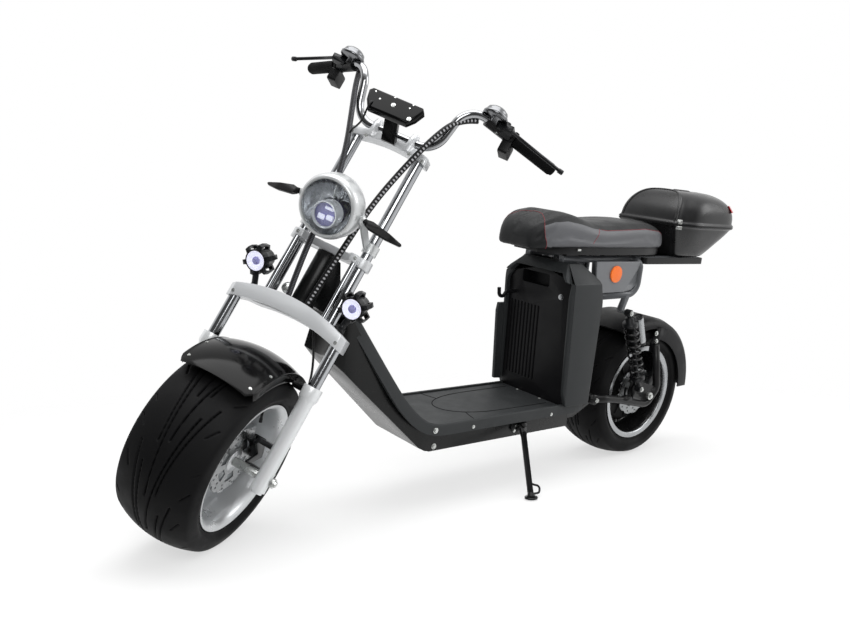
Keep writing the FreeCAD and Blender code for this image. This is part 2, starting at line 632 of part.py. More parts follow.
def brake_lever(side):
    """Master cylinder, perch and blade in front of the grip, with a threaded boss for a mirror."""
    perch = on_bar(LEVER_Y - 14, LEVER_Y + 11, BAR_RADIUS + 6)
    x0, y0, z0 = bar_point(LEVER_Y)
    body = box(x0 + 8, x0 + 36, y0 - 16, y0 + 24, z0 - 8, z0 + 11)
    x1, y1, z1 = bar_point(LEVER_Y + 60)
    x2, y2, z2 = bar_point(BAR_END_Y + 32)
    blade = bent_tube([(x0 + 32, y0 + 16, z0), (x1 + 54, y1, z1 - 4), (x2 + 78, y2, z2 - 14)], 4.5, 90)
    tip = rod((x2 + 79, y2 - 3, z2 - 14), (x2 + 73, y2 + 8, z2 - 14), 6.5)
    x3, y3, z3 = mirror_thread()
    boss = rod((x3, y3, z3 - MIRROR_THREAD_DEPTH - 2), (x3, y3, z3), 8)
    thread = rod((x3, y3, z3 - MIRROR_THREAD_DEPTH), (x3, y3, z3 + 5), MIRROR_THREAD_RADIUS)
    whole = union([perch, body, blade, tip, boss]).cut(handlebar_left()).cut(thread)
    return whole if side > 0 else mirror_y(whole)


def mirror_thread():
    """The mouth of the left mirror's thread, on the brake lever's perch."""
    x, y, z = bar_point(LEVER_Y)
    return (x + 22, y + 2, z + 20)


def control_pod(side):
    """A switch block under the bar, between the brake perch and the grip."""
    start, stop = LEVER_Y + 11.5, GRIP_START - 2.3
    x, y, z = bar_point((start + stop) / 2)
    ring = on_bar(start + 0.2, stop, BAR_RADIUS + 8)
    low = rounded(box(x - 40, x + 12, y - 14, y + 12, z - 48, z - 12), 6, along_y)
    whole = union([ring, low]).cut(handlebar_left()).cut(brake_lever(1))
    return whole if side > 0 else mirror_y(whole)


def speaker(side):
    """A round chromed sound pod on a saddle clamped to the bar."""
    x, y, z = bar_point(POD_Y)
    saddle = on_bar(POD_Y - 16, POD_Y + 17, BAR_RADIUS + 6)
    r, low = POD_RADIUS, z + 8
    dome = lamp_profile([(0, 0), (0, r - 5), (3, r), (9, r), (12, r - 3), (21, r - 6), (27, r - 14),
                         (29, 0)])
    dome = dome.rotated(vec(0, 0, 0), vec(0, 1, 0), -90).translated(vec(x + 18, y, low))
    neck = rod((x + 10, y, z - 6), (x + 10, y, low), 14)
    whole = union([saddle, neck, dome]).cut(handlebar_left()).cut(brake_lever(1))
    whole = largest(whole)
    return whole if side > 0 else mirror_y(whole)


def display():
    """The instrument's flat case on a sloping plate stem from the top clamp's front."""
    half, x = DISPLAY_HALF_WIDTH, 58
    front, base = STEER_X + 20.3, TOP_CLAMP_Z + TOP_CLAMP_RISE
    stem = slab_y([(front, base), (front, base + 14), (x, 946), (x + 6, 938), (front + 8, base)], -19, 19)
    case = slab_x([(24 - half, 906), (9 - half, 928), (-half, 956), (8 - half, 966), (half - 8, 966),
                   (half, 956),
                   (half - 9, 928), (half - 24, 906)], x, x + 20)
    case = rounded(case, 6, lambda e: e.BoundBox.XLength < 0.1 and e.BoundBox.XMin > x + 15)
    case = case.rotated(vec(x + 10, 0, 936), vec(0, 1, 0), -14)
    return union([stem, case]).cut(top_clamp())


DISPLAY_LEAD = [(72, -50, 930), (88, -51, 927), (84, -52, 902), (62, -58, 878), (38, -76, 866),
                (14, -94, 862),
                (7, -97, 846)]


def cable_looms():
    """Two braided looms from the bar down to the lower clamp, a display lead, and the brake hose."""
    left = bent_tube([(-30, 178, 1030), (-4, 142, 1004), (8, 112, 940), (10, 78, 820), (14, 54, 700),
                      (14, 44, 560), (8, 34, 470), (-2, 26, 392)], 7.5, 120)
    right = bent_tube([(-30, -178, 1030), (-10, -160, 990), (2, -128, 920), (10, -82, 810), (14, -54, 700),
                       (14, -44, 560), (8, -34, 470), (-2, -26, 392)], 7.5, 120)
    looms = [loom.cut(lower_clamp()).cut(handlebar()).cut(top_clamp()) for loom in (left, right)]
    looms = [max(loom.Solids, key=lambda piece: piece.Volume) for loom in looms]
    lead = bent_tube(DISPLAY_LEAD, 2.5, 30)
    lead = largest(lead.cut(display()).cut(looms[1]).cut(top_clamp()))
    hose = bent_tube([(-12, 64, 380), (-24, 88, 330), (-34, 114, 272), (-38, 125, 220), (-48, 124, 164),
                      (-54, 118, 112)], 3, 60)
    hose = largest(hose.cut(lower_clamp()).cut(front_caliper()).cut(fork_leg(1)))
    return Part.makeCompound(looms + [lead, hose])


# Chassis

NECK_X = WHEELBASE - 344   # where the deck's tray ends on the neck
BEAM_SIDE = [(BEAM_REAR, BEAM_BOTTOM), (NECK_X - 270, BEAM_BOTTOM), (NECK_X - 254, 169), (NECK_X - 232, 180),
             (NECK_X + 73, 462), (NECK_X + 62, 566), (NECK_X + 20, 560), (NECK_X, 545), (NECK_X - 98, 395),
             (NECK_X - 148, 318), (NECK_X - 206, 258), (NECK_X - 254, BEAM_TOP), (BEAM_REAR, BEAM_TOP)]


def beam_plan(inset):
    """Plan outline of the beam, taken in by inset."""
    half = [(BEAM_REAR + inset, BEAM_HALF_WIDTH - inset), (NECK_X - 236, BEAM_HALF_WIDTH - inset),
            (NECK_X - 16, NECK_HALF_WIDTH - inset), (NECK_X + 20, NECK_HALF_WIDTH - inset),
            (NECK_X + 74 - inset, 48 - inset)]
    return half + [(x, -y) for x, y in reversed(half)]


def fork_place(shape):
    """From the fork frame to the chassis frame, steering straight ahead."""
    turned = shape.rotated(vec(0, 0, 0), vec(0, 1, 0), -RAKE)
    return turned.translated(vec(WHEELBASE, 0, AXLE_HEIGHT))


def frame_beam():
    """The welded box beam under the deck, its rising neck, the head tube and the rear pivot lugs."""
    solid = slab_y(BEAM_SIDE, -BEAM_HALF_WIDTH, BEAM_HALF_WIDTH).common(slab_z(beam_plan(0), 100, 700))
    inner_side = [(BEAM_REAR + BEAM_WALL, BEAM_BOTTOM + BEAM_WALL), (NECK_X - 272, BEAM_BOTTOM + BEAM_WALL),
                  (NECK_X - 236, 184), (NECK_X + 14, 418), (NECK_X - 20, 505), (NECK_X - 95, 391),
                  (NECK_X - 146, 313), (NECK_X - 205, 253), (NECK_X - 256, BEAM_TOP - BEAM_WALL),
                  (BEAM_REAR + BEAM_WALL, BEAM_TOP - BEAM_WALL)]
    hollow = slab_y(inner_side, -BEAM_HALF_WIDTH, BEAM_HALF_WIDTH)
    hollow = hollow.common(slab_z(beam_plan(BEAM_WALL), 100, 700))
    x = STEER_X
    low, high = CLAMP_MID_TOP + HEAD_GAP, MIDDLE_CLAMP_Z - HEAD_GAP
    head = rod((x, 0, low), (x, 0, high), HEAD_RADIUS)
    gusset = slab_z([(x, -24), (x, 24), (x - 66, 40), (x - 66, -40)], low + 6, high - 6)
    gusset = gusset.cut(slab_y([(x - 70, high + 2), (x + 10, high + 2), (x - 24, high - 6),
                                (x - 70, high - 86)],
                               -60, 60))
    bore = rod((x, 0, low - 5), (x, 0, high + 5), STEM_RADIUS + STEM_PLAY)
    below = rod((x, 0, low - 120), (x, 0, low), TUBE_Y + 22)
    around = rod((x, 0, low - 1), (x, 0, high + 60), TUBE_Y + 22)
    around = around.cut(box(x - 200, x + 60, -50, 50, low, high + 80))
    clear = below.fuse(around)
    neck = solid.cut(hollow)
    joined = union([neck, fork_place(union([head, gusset]))])
    lug = slab_y([(BEAM_REAR, 190), (BEAM_REAR, BEAM_TOP), (PIVOT_X - 2, PIVOT_Z + 18),
                  (PIVOT_X - 17, PIVOT_Z + 6),
                  (PIVOT_X - 17, PIVOT_Z - 8), (PIVOT_X - 2, PIVOT_Z - 18), (340, 190)], 88, 100)
    cross = bar_y(PIVOT_X, PIVOT_Z, -100, 100, PIVOT_RADIUS + 3)
    joined = union([joined, lug, mirror_y(lug), cross])
    pivot_hole = bar_y(PIVOT_X, PIVOT_Z, -110, 110, PIVOT_RADIUS - 3)
    return joined.cut(fork_place(bore)).cut(fork_place(clear)).cut(pivot_hole)


# Deck line from the rear up the neck: x, underside height, half width of the tray there
DECK_LINE = [
    (DECK_REAR, BEAM_TOP, 126),
    (360, BEAM_TOP, 140),
    (NECK_X - 326, BEAM_TOP, 140),
    (NECK_X - 254, BEAM_TOP, 139),
    (NECK_X - 206, 258, 134),
    (NECK_X - 148, 318, 118),
    (NECK_X - 98, 395, 98),
    (NECK_X, 545, 70),
]


def deck_band(rise, lowered):
    """A closed side outline that follows the deck line, from lowered below it to rise above it."""
    low, high = [], []
    for index, (x, z, _) in enumerate(DECK_LINE):
        before, after = DECK_LINE[max(0, index - 1)], DECK_LINE[min(len(DECK_LINE) - 1, index + 1)]
        slope = math.atan2(after[1] - before[1], after[0] - before[0])
        low.append((x + lowered * math.sin(slope), z - lowered * math.cos(slope)))
        high.append((x - rise * math.sin(slope), z + rise * math.cos(slope)))
    return low + high[::-1]


def deck_tray():
    """The footboard: a wide tray that follows the beam up the neck, with a raised lip round its edge."""
    half = [(x, y) for x, _, y in DECK_LINE]
    plan = half + [(x, -y) for x, y in reversed(half)]
    trim = [(DECK_REAR - 5, 112)] + [(x, y - 12) for x, y in half[1:-1]] + [(NECK_X + 14, 55)]
    inside = slab_z(trim + [(x, -y) for x, y in reversed(trim)], 100, 800)
    width = DECK_HALF_WIDTH + 1
    sheet = slab_y(deck_band(DECK_THICKNESS, 0), -width, width).common(slab_z(plan, 150, 700))
    lip = slab_y(deck_band(DECK_THICKNESS + 5, 15), -width, width).common(slab_z(plan, 150, 700)).cut(inside)
    tray = union([sheet, lip])
    tip = NECK_X - 368
    outline = [(470, -92), (470, 92), (tip - 148, 92), (tip - 58, 72), (tip - 12, 36), (tip, 0),
               (tip - 12, -36),
               (tip - 58, -72), (tip - 148, -92)]
    top = BEAM_TOP + DECK_THICKNESS
    groove = slab_z(outline, top - 1.5, top + 9)
    middle = slab_z([(x - 3 if x > 480 else x, y * 0.967) for x, y in outline], BEAM_TOP, top + 20)
    return largest(tray.cut(groove.cut(middle)).cut(frame_beam()))


HOUSING_SIDE = [(336, 251), (444, 251), (460, 300), (484, 600), (470, HOUSING_TOP), (410, HOUSING_TOP),
                (356, 650), (330, 560), (330, 290)]


def housing_front(grow):
    """(y, z) outline of the recess in the housing that the battery pack sits in."""
    half = PACK_HALF_WIDTH + grow
    return [(-half, 251), (half, 251), (half, 636), (half - 30, 668 + grow), (-half + 42, 668 + grow),
            (-half, 618)]


def battery_housing():
    """The moulded box behind the deck for the battery pack, with a brow over it and sloped shoulders."""
    half = HOUSING_HALF_WIDTH
    shell = slab_y(HOUSING_SIDE, -half, half)
    front = [(-half, 251), (half, 251), (half, 640), (half - 44, HOUSING_TOP), (-half + 66, HOUSING_TOP),
             (-half, 636)]
    shell = shell.common(slab_x(front, 300, 520))
    shell = rounded(shell, 11, lambda e: e.BoundBox.YLength < 0.1 and abs(e.BoundBox.YMin) > half - 1
                    and e.BoundBox.ZLength > 200)
    recess = slab_x(housing_front(FIT_GAP), 360, 600)
    shell = shell.cut(recess)
    brow_front = [(-half + 14, 640), (half - 14, 640), (half - 46, HOUSING_TOP - 1),
                  (-half + 68, HOUSING_TOP - 1)]
    brow = slab_y([(440, 672), (486, 640), (500, 646), (496, 662), (472, HOUSING_TOP - 1),
                   (440, HOUSING_TOP - 1)],
                  -half, half).common(slab_x(brow_front, 300, 520)).cut(recess)
    wing = slab_y([(432, 262), (478, 266), (500, 500), (496, 526), (452, 526)], -half - 6, -half + 6)
    return union([shell, brow, wing]).cut(deck_tray())


def battery_pack():
    """The removable battery cassette: ribbed face, handle recess, lock and a bag hook."""
    block = slab_x(housing_front(0), 360 + FIT_GAP, 520)
    face = slab_y([(300, 200), (446, 200), (450, 251), (474, 668), (474, 760), (300, 760)], -200, 200)
    block = block.common(face)
    grip_slot = box(436, 500, -78, 38, 612, 652)
    block = block.cut(rounded(grip_slot, 8, lambda e: e.BoundBox.XLength > 50))
    ribs = []
    for n in range(9):
        y = -120 + n * 15
        ribs.append(slab_y([(448, 300), (464, 300), (480, 545), (463, 545)], y, y + 6))
    block = block.cut(Part.makeCompound(ribs))
    lock = rod((462, 92, 592), (474, 92, 592), 8)
    hook = bent_tube([(462, -104, 572), (512, -104, 572), (524, -104, 556), (542, -104, 560),
                      (546, -104, 586)],
                     6, 12)
    return union([block, lock, hook]).cut(deck_tray())


def rear_frame():
    """Uprights, seat rails, side loops and shock posts: the tubular rear frame."""
    rails = []
    for side in (-1, 1):
        y0 = side * RAIL_Y
        rails.append(box(-240, 470, y0 - RAIL_SIZE / 2, y0 + RAIL_SIZE / 2, HOUSING_TOP,
                         HOUSING_TOP + RAIL_SIZE))
    upright = bent_tube([(318, 98, 230), (318, 98, 560), (320, 84, HOUSING_TOP + 6)], LOOP_RADIUS, 60)
    loop = bent_tube([(128, RAIL_Y, HOUSING_TOP + 10), (128, LOOP_Y, HOUSING_TOP + 4), (128, LOOP_Y, 598),
                      (318, LOOP_Y - 14, 590)], LOOP_RADIUS, 42)
    post = rod((176, LOOP_Y, 592), (SHOCK_TOP[0], LOOP_Y, SHOCK_TOP[1]), LOOP_RADIUS)
    pin = bar_y(SHOCK_TOP[0], SHOCK_TOP[1], LOOP_Y - 8, SHOCK_Y + 26, 6)
    cross = bar_y(178, 596, -LOOP_Y, LOOP_Y, 9)
    sides = [upright, loop, post, pin]
    return union(rails + [cross] + sides + [mirror_y(s) for s in sides]).cut(frame_beam())


def side_panel(side):
    """The grey cheek between the housing and the loop tube."""
    panel = slab_y([(352, 706), (132, 706), (128, 660), (136, 630), (160, 612), (196, 606), (334, 604),
                    (344, 640)],
                   LOOP_Y - 3, LOOP_Y + 5)
    panel = rounded(panel, 3, lambda e: e.BoundBox.YLength < 0.1 and e.BoundBox.YMin > LOOP_Y)
    panel = panel if side > 0 else mirror_y(panel)
    return panel.cut(rear_frame()).cut(battery_housing())


def side_reflector(side):
    y0 = LOOP_Y + 5
    disc = bar_y(254, 666, y0, y0 + 5, 27)
    return disc if side > 0 else mirror_y(disc)


def seat_base():
    """The seat's moulded pan, on feet over the rails."""
    half = [(-16, 70), (30, 94), (120, 108), (400, 112), (500, 98), (558, 50)]
    plan = half + [(x, -y) for x, y in reversed(half)]
    pan = slab_z(plan, PAN_BOTTOM, PAN_TOP)
    rail_top = HOUSING_TOP + RAIL_SIZE
    feet = [box(x, x + 60, side * RAIL_Y - 10, side * RAIL_Y + 10, rail_top, PAN_BOTTOM)
            for side in (-1, 1) for x in (10, 220, 400)]
    return union([pan] + feet)


def seat_section(x, half, low, high, drop):
    """One cross section of the saddle at x: half width, lower and upper height, and the crown's drop."""
    tall = high - low
    side = [(half - 6, low), (half, low + 0.13 * tall), (half, high - drop - 0.27 * tall),
            (half * 0.95, high - drop - 0.09 * tall), (half * 0.78, high - 0.35 * drop - 1),
            (half * 0.42, high - 0.06 * drop)]
    points = [(x, y, z) for y, z in side] + [(x, -y, z) for y, z in reversed(side)]
    return outline_wire(points)


# Saddle sections from the tail to the nose: x, half width, lower height, upper height, crown drop
SEAT_SECTIONS = [
    (-30, 60, 750, 786, 6),
    (-12, 84, 750, 804, 8),
    (30, 104, 750, 820, 9),
    (120, 118, 750, 829, 10),
    (230, 124, 750, 826, 12),
    (320, 126, 750, 823, 14),
    (385, 126, 750, 829, 15),
    (440, 123, 750, 841, 16),
    (497, 117, 748, 848, 17),
    (545, 108, 744, 843, 17),
    (578, 94, 740, 828, 15),
    (602, 76, 737, 806, 12),
    (613, 60, 736, 782, 8),
]


def seat_cushion():
    """The long saddle: a raised nose, a dip for the rider and a flat pillion pad."""
    return Part.makeLoft([seat_section(*row) for row in SEAT_SECTIONS], True, False).cut(seat_base())


def carrier_plate():
    """The folded tray on the rails' undersides that carries the luggage box."""
    low = HOUSING_TOP - TRAY_WALL
    half, wall = TRAY_HALF_WIDTH, TRAY_WALL
    block = rounded(box(TRAY_REAR, TRAY_FRONT, -half, half, low, TRAY_TOP), 14, along_z)
    inner = rounded(box(TRAY_REAR + wall, TRAY_FRONT - wall, -half + wall, half - wall, HOUSING_TOP,
                        TRAY_TOP + 1),
                    11, along_z)
    return block.cut(inner).cut(rear_frame())


# Luggage box plans: height, front x, rear x, half width at the front corners, widest half width
BASE_SECTIONS = [
    (718, -90, -283, 96, 106),
    (832, -18, -372, 126, 168),
]
LID_SECTIONS = [
    (833, -18, -372, 126, 168),
    (876, -32, -368, 124, 166),
    (920, -62, -338, 108, 146),
    (944, -96, -294, 66, 92),
]


def box_plan(row, inset):
    """One plan outline of the luggage box, taken in by inset."""
    z, front, rear, corner, widest = row
    f, r, c, w = front - inset, rear + inset, corner - inset, widest - inset
    half = [(f, c - 18), (f - 16, c), (f - 70, w - 4), (f - 100, w), (r + 80, w), (r + 24, w - 30),
            (r, w - 78)]
    points = [(x, y, z) for x, y in half] + [(x, -y, z) for x, y in reversed(half)]
    return outline_wire(points)


def box_solid(sections, inset):
    bands = [Part.makeLoft([box_plan(low, inset), box_plan(high, inset)], True, True)
             for low, high in zip(sections, sections[1:])]
    return union(bands)


def raised_by(row, rise):
    return (row[0] + rise,) + tuple(row[1:])


def box_base():
    """The luggage box's tapered lower shell, open at its top."""
    inner = [raised_by(BASE_SECTIONS[0], BOX_WALL), raised_by(BASE_SECTIONS[1], 0.01)]
    return box_solid(BASE_SECTIONS, 0).cut(box_solid(inner, BOX_WALL))


def box_lid():
    """The luggage box's domed lid."""
    low, high = raised_by(LID_SECTIONS[0], -1.0), raised_by(LID_SECTIONS[-1], -BOX_WALL)
    inner = [low] + LID_SECTIONS[1:-1] + [high]
    return box_solid(LID_SECTIONS, 0).cut(box_solid(inner, BOX_WALL))


def lid_reflector(side):
    """A thin red reflector let onto the lid's rear corner."""
    skin = box_solid(LID_SECTIONS, -2.5).cut(box_solid(LID_SECTIONS, 0))
    strip = skin.common(box(-400, -290, 70, 180, 886, 908))
    strip = max(strip.Solids, key=lambda piece: piece.Volume)
    return strip if side > 0 else mirror_y(strip)


def swing_arm():
    """The swinging arm: a bent tube each side, the pivot tube and the axle plates."""
    y = ARM_Y
    arm = bent_tube([(PIVOT_X, 112, PIVOT_Z), (PIVOT_X - 30, y, PIVOT_Z + 6), (160, y, 240), (2, y, 206),
                     (-48, y, 262), (-2, y, 420)], ARM_RADIUS, 40)
    plate = slab_y([(92, 272), (84, 236), (34, 220), (-24, 214), (-40, 250), (-26, 270), (56, 294),
                    (84, 294)],
                   y - 4, y + 4)
    eye = bar_y(PIVOT_X, PIVOT_Z, 100.5, 122, PIVOT_RADIUS + 5)
    pin = bar_y(SHOCK_FOOT[0], SHOCK_FOOT[1], y - 4, y + 26, 6)
    brace = rod((130, y, 238), (100, y, 238), ARM_RADIUS)
    left = union([arm, plate, eye, pin, brace]).cut(bar_y(0, AXLE_HEIGHT, 90, 200, AXLE_RADIUS))
    shaft = bar_y(PIVOT_X, PIVOT_Z, -128, 128, PIVOT_RADIUS - 3)
    return union([left, mirror_y(left), shaft])


def shock_line(share):
    """A point on the shock's axis, from its foot at 0 to its top at 1."""
    (tx, tz), (fx, fz) = SHOCK_TOP, SHOCK_FOOT
    return (fx + (tx - fx) * share, fz + (tz - fz) * share)


def shock_piece(share0, share1, radius, y):
    (x0, z0), (x1, z1) = shock_line(share0), shock_line(share1)
    return rod((x0, y, z0), (x1, y, z1), radius)


def shock_body(side):
    """Damper rod, body, spring seats and the side reservoir."""
    y = SHOCK_Y + 14
    pieces = [shock_piece(0.02, 0.98, 7, y), shock_piece(0.55, 0.94, 14, y),
              shock_piece(0.14, 0.17, 25, y), shock_piece(0.84, 0.88, 25, y)]
    for share in (0.0, 1.0):
        x, z = shock_line(share)
        pieces.append(bar_y(x, z, y - 9, y + 9, 12))
    x0, z0 = shock_line(0.93)
    pieces.append(rod((x0 - 4, y, z0), (x0 - 48, y, z0 - 6), 8))
    pieces.append(rod((x0 - 46, y, z0 + 8), (x0 - 88, y, z0 - 92), 14))
    whole = union(pieces)
    for share in (0.0, 1.0):
        x, z = shock_line(share)
        whole = whole.cut(bar_y(x, z, y - 30, y + 30, 6))
    return whole if side > 0 else mirror_y(whole)


def facet_coil(radius, wire, height, turns):
    """A coil along Z built from flat facets: twelve steps a turn, six sides round the wire."""
    rings, steps = [], int(turns * 12)
    for step in range(steps + 1):
        angle = 2 * math.pi * step / 12
        z = wire + (height - 2 * wire) * step / steps
        ring = []
        for side in range(6):
            turn = 2 * math.pi * side / 6
            reach = radius + wire * math.cos(turn)
            ring.append(vec(reach * math.cos(angle), reach * math.sin(angle), z + wire * math.sin(turn)))
        rings.append(ring)
    faces = []
    for low, high in zip(rings, rings[1:]):
        for side in range(6):
            a, b = low[side], low[(side + 1) % 6]
            c, d = high[side], high[(side + 1) % 6]
            faces.append(Part.Face(Part.makePolygon([a, b, d, a])))
            faces.append(Part.Face(Part.makePolygon([a, d, c, a])))
    for ring in (rings[0], rings[-1]):
        faces.append(Part.Face(Part.makePolygon(ring + ring[:1])))
    return Part.Solid(Part.Shell(faces))


def shock_spring(side):
    """The coil spring between its seats."""
    y = SHOCK_Y + 14
    (x0, z0), (x1, z1) = shock_line(0.1705), shock_line(0.8395)
    length = math.hypot(x1 - x0, z1 - z0)
    coil = facet_coil(20.5, 3.6, length, 8)
    tilt = math.degrees(math.atan2(x1 - x0, z1 - z0))
    coil = coil.rotated(vec(0, 0, 0), vec(0, 1, 0), tilt).translated(vec(x0, y, z0))
    return coil if side > 0 else mirror_y(coil)


def rear_mudguard():
    """The rear guard round the tyre, with side skirts bolted to the arm's ends."""
    r0, r1, w = GUARD_RADIUS, GUARD_RADIUS + GUARD_WALL, GUARD_HALF_WIDTH
    low = 198
    outer = [(-w, low), (-w, r1 - 24), (-w + 10, r1 - 8), (-w + 34, r1), (w - 34, r1), (w - 10, r1 - 8),
             (w, r1 - 24), (w, low)]
    inner = [(w - 4, low), (w - 4, r0 - 25), (w - 13, r0 - 11), (w - 35, r0 - 2), (-w + 35, r0 - 2),
             (-w + 13, r0 - 11), (-w + 4, r0 - 25), (-w + 4, low)]
    ring = ring_y(outer + inner, 0, AXLE_HEIGHT)
    reach = 2 * r1
    corners = [(0, AXLE_HEIGHT)]
    for angle in (58, 100, 140, 178):
        turn = math.radians(angle)
        corners.append((reach * math.cos(turn), AXLE_HEIGHT + reach * math.sin(turn)))
    guard = ring.common(slab_y(corners, -w - 5, w + 5))
    relief = slab_y([(0, AXLE_HEIGHT), (400, AXLE_HEIGHT), (400, 700), (-30, 700)], -w - 9, w + 9)
    relief = relief.cut(bar_y(0, AXLE_HEIGHT, -w - 9, w + 9, r0 - 30))
    guard = union([guard.common(relief), guard.cut(slab_y([(0, AXLE_HEIGHT), (400, AXLE_HEIGHT), (400, 700),
                                                           (-30, 700)], -w - 9, w + 9))])
    tab = slab_y([(-20, 424), (-20, 392), (8, 392), (8, 424), (-30, 480), (-66, 470)], w - 4, ARM_Y - 6)
    return union([guard, tab, mirror_y(tab)]).cut(swing_arm())


def tail_bracket():
    """The bracket with the tail lamp and a bare plate on the guard's end."""
    x = -GUARD_RADIUS
    arm = slab_y([(x + 2, 252), (x - 50, 262), (x - 50, 268), (x + 2, 260)], -36, 36)
    plate = box(x - 50, x - 46, -44, 44, 226, 276)
    lamp = rounded(box(x - 60, x - 50, -40, 40, 246, 274), 4, lambda e: e.BoundBox.XLength > 8)
    return union([plate, arm, lamp]).cut(rear_mudguard())


def rear_axle():
    """The motor's fixed axle, with its nuts outside the arm's plates."""
    outer = ARM_Y + 4
    parts = [bar_y(0, AXLE_HEIGHT, -outer - 16, outer + 16, AXLE_RADIUS)]
    for side in (-1, 1):
        nut = bar_y(0, AXLE_HEIGHT, outer, outer + 10, 13)
        spacer = bar_y(0, AXLE_HEIGHT, REAR_DISC_OFFSET + 5, ARM_Y - 4, 11)
        parts += [nut, spacer] if side > 0 else [mirror_y(nut), mirror_y(spacer)]
    return union(parts).cut(swing_arm())


def rear_caliper():
    """The rear caliper behind the axle, carried by a plate on the arm's left axle plate."""
    body = caliper(-70, AXLE_HEIGHT + 42, -59, REAR_DISC_OFFSET)
    plate = slab_y([(-98, 276), (-84, 306), (-50, 300), (-26, 262), (-40, 238)], REAR_DISC_OFFSET + 26,
                   REAR_DISC_OFFSET + 32)
    arm = bar_y(-34, 254, REAR_DISC_OFFSET + 26, ARM_Y - 4, 7)
    return union([body, plate, arm]).cut(swing_arm())


def stand_axis():
    """The side stand's pivot axis in the chassis frame: square to the leg down and the leg folded."""
    down = vec(STAND_FORWARD, STAND_OUT, -161).normalize()
    folded = vec(-0.95, 0.30, -0.08).normalize()
    return down.cross(folded).normalize()


def stand_foot(length):
    down = vec(STAND_FORWARD, STAND_OUT, -161).normalize()
    return vec(*STAND_PIVOT) + down * length


def side_stand(length, up):
    """The leg from its pivot eye to its foot pad, which lies flat on the ground."""
    pivot, axis = vec(*STAND_PIVOT), stand_axis()
    foot = stand_foot(length)
    down = (foot - pivot).normalize()
    eye = Part.makeCylinder(15, 12, pivot - axis * 6, axis)
    reach = (foot - pivot).Length
    side = down.cross(axis).normalize()
    leg = Part.makeCylinder(STAND_LEG_RADIUS, reach - 26, pivot + down * 24, down)
    corners = [pivot + down * a + side * b - axis * 6 for a, b in ((4, -11), (34, -8), (34, 8), (4, 11))]
    tongue = Part.Face(outline_wire([(p.x, p.y, p.z) for p in corners])).extrude(axis * 12)
    pad = Part.makeCylinder(19, FOOT_THICKNESS, foot, up)
    neck = Part.makeCone(14, 8, 14, foot + up * (FOOT_THICKNESS - 1), (up * 1.0 - down).normalize())
    hole = Part.makeCylinder(6.5, 40, pivot - axis * 20, axis)
    tang_root = pivot + down * ((foot - pivot).Length * 0.80)
    tang_points = [tang_root, tang_root - side * 34 + down * 6, tang_root - side * 30 + down * 26,
                   pivot + down * ((foot - pivot).Length - 12)]
    tang = bent_tube([(p.x, p.y, p.z) for p in tang_points], 3.2, 10)
    return union([eye, tongue, leg, pad, neck, tang]).cut(hole)


def stand_bracket():
    """The plate on the beam's side with the stand's pivot bolt."""
    pivot, axis = vec(*STAND_PIVOT), stand_axis()
    plate = slab_y([(575, 178), (575, 222), (632, 222), (632, 190), (618, 178)], BEAM_HALF_WIDTH,
                   BEAM_HALF_WIDTH + 5)
    inner = -1 if axis.y > 0 else 1
    bolt = Part.makeCylinder(6, 30, pivot + axis * (inner * 17), axis * (-inner))
    head = Part.makeCylinder(10, 5, pivot + axis * (-inner * 7), axis * (-inner))
    boss = Part.makeCylinder(12, 20, pivot + axis * (inner * 7), axis * inner)
    whole = union([plate, bolt, head, boss])
    return whole.cut(box(400, 800, -BEAM_HALF_WIDTH, BEAM_HALF_WIDTH, 100, 300))


# Placing: steering turned, both tyres and the stand's foot on the ground

def steer_turn(shape):
    """Turns a piece given in the fork frame about the steering axis to the parked angle."""
    return shape.rotated(vec(STEER_X, 0, 0), vec(0, 0, 1), STEER_REST)


def steer_point(point):
    turn = FreeCAD.Rotation(vec(0, 0, 1), STEER_REST)
    centre = vec(STEER_X, 0, 0)
    return fork_point(turn.multVec(point - centre) + centre)


def fork_point(point):
    rake = FreeCAD.Rotation(vec(0, 1, 0), -RAKE)
    return rake.multVec(point) + vec(WHEELBASE, 0, AXLE_HEIGHT)


def fork_direction(direction, turned):
    rake = FreeCAD.Rotation(vec(0, 1, 0), -RAKE)
    turn = FreeCAD.Rotation(vec(0, 0, 1), STEER_REST if turned else 0)
    return rake.multVec(turn.multVec(direction))


def lean_turn(pitch):
    return FreeCAD.Rotation(vec(1, 0, 0), -LEAN).multiply(FreeCAD.Rotation(vec(0, 1, 0), pitch))


def wheel_bottom(turn, centre, axle):
    """The height of a wheel's lowest point after a turn about the origin."""
    return turn.multVec(centre).z - tyre_reach(turn.multVec(axle).z)


def parked():
    """The turn that sets both tyres on one level, and that level."""
    front, front_axis = steer_point(vec(0, 0, 0)), fork_direction(vec(0, 1, 0), True)
    rear, rear_axis = vec(0, 0, AXLE_HEIGHT), vec(0, 1, 0)
    low, high = -5.0, 5.0
    for _ in range(60):
        pitch = (low + high) / 2
        turn = lean_turn(pitch)
        if wheel_bottom(turn, front, front_axis) > wheel_bottom(turn, rear, rear_axis):
            low = pitch
        else:
            high = pitch
    return lean_turn(pitch), wheel_bottom(lean_turn(pitch), rear, rear_axis), pitch


def stand_length(turn, ground):
    """The leg length that puts the foot pad's lower face on the ground."""
    down = vec(STAND_FORWARD, STAND_OUT, -161).normalize()
    start = turn.multVec(vec(*STAND_PIVOT)).z
    return (ground - start) / turn.multVec(down).z


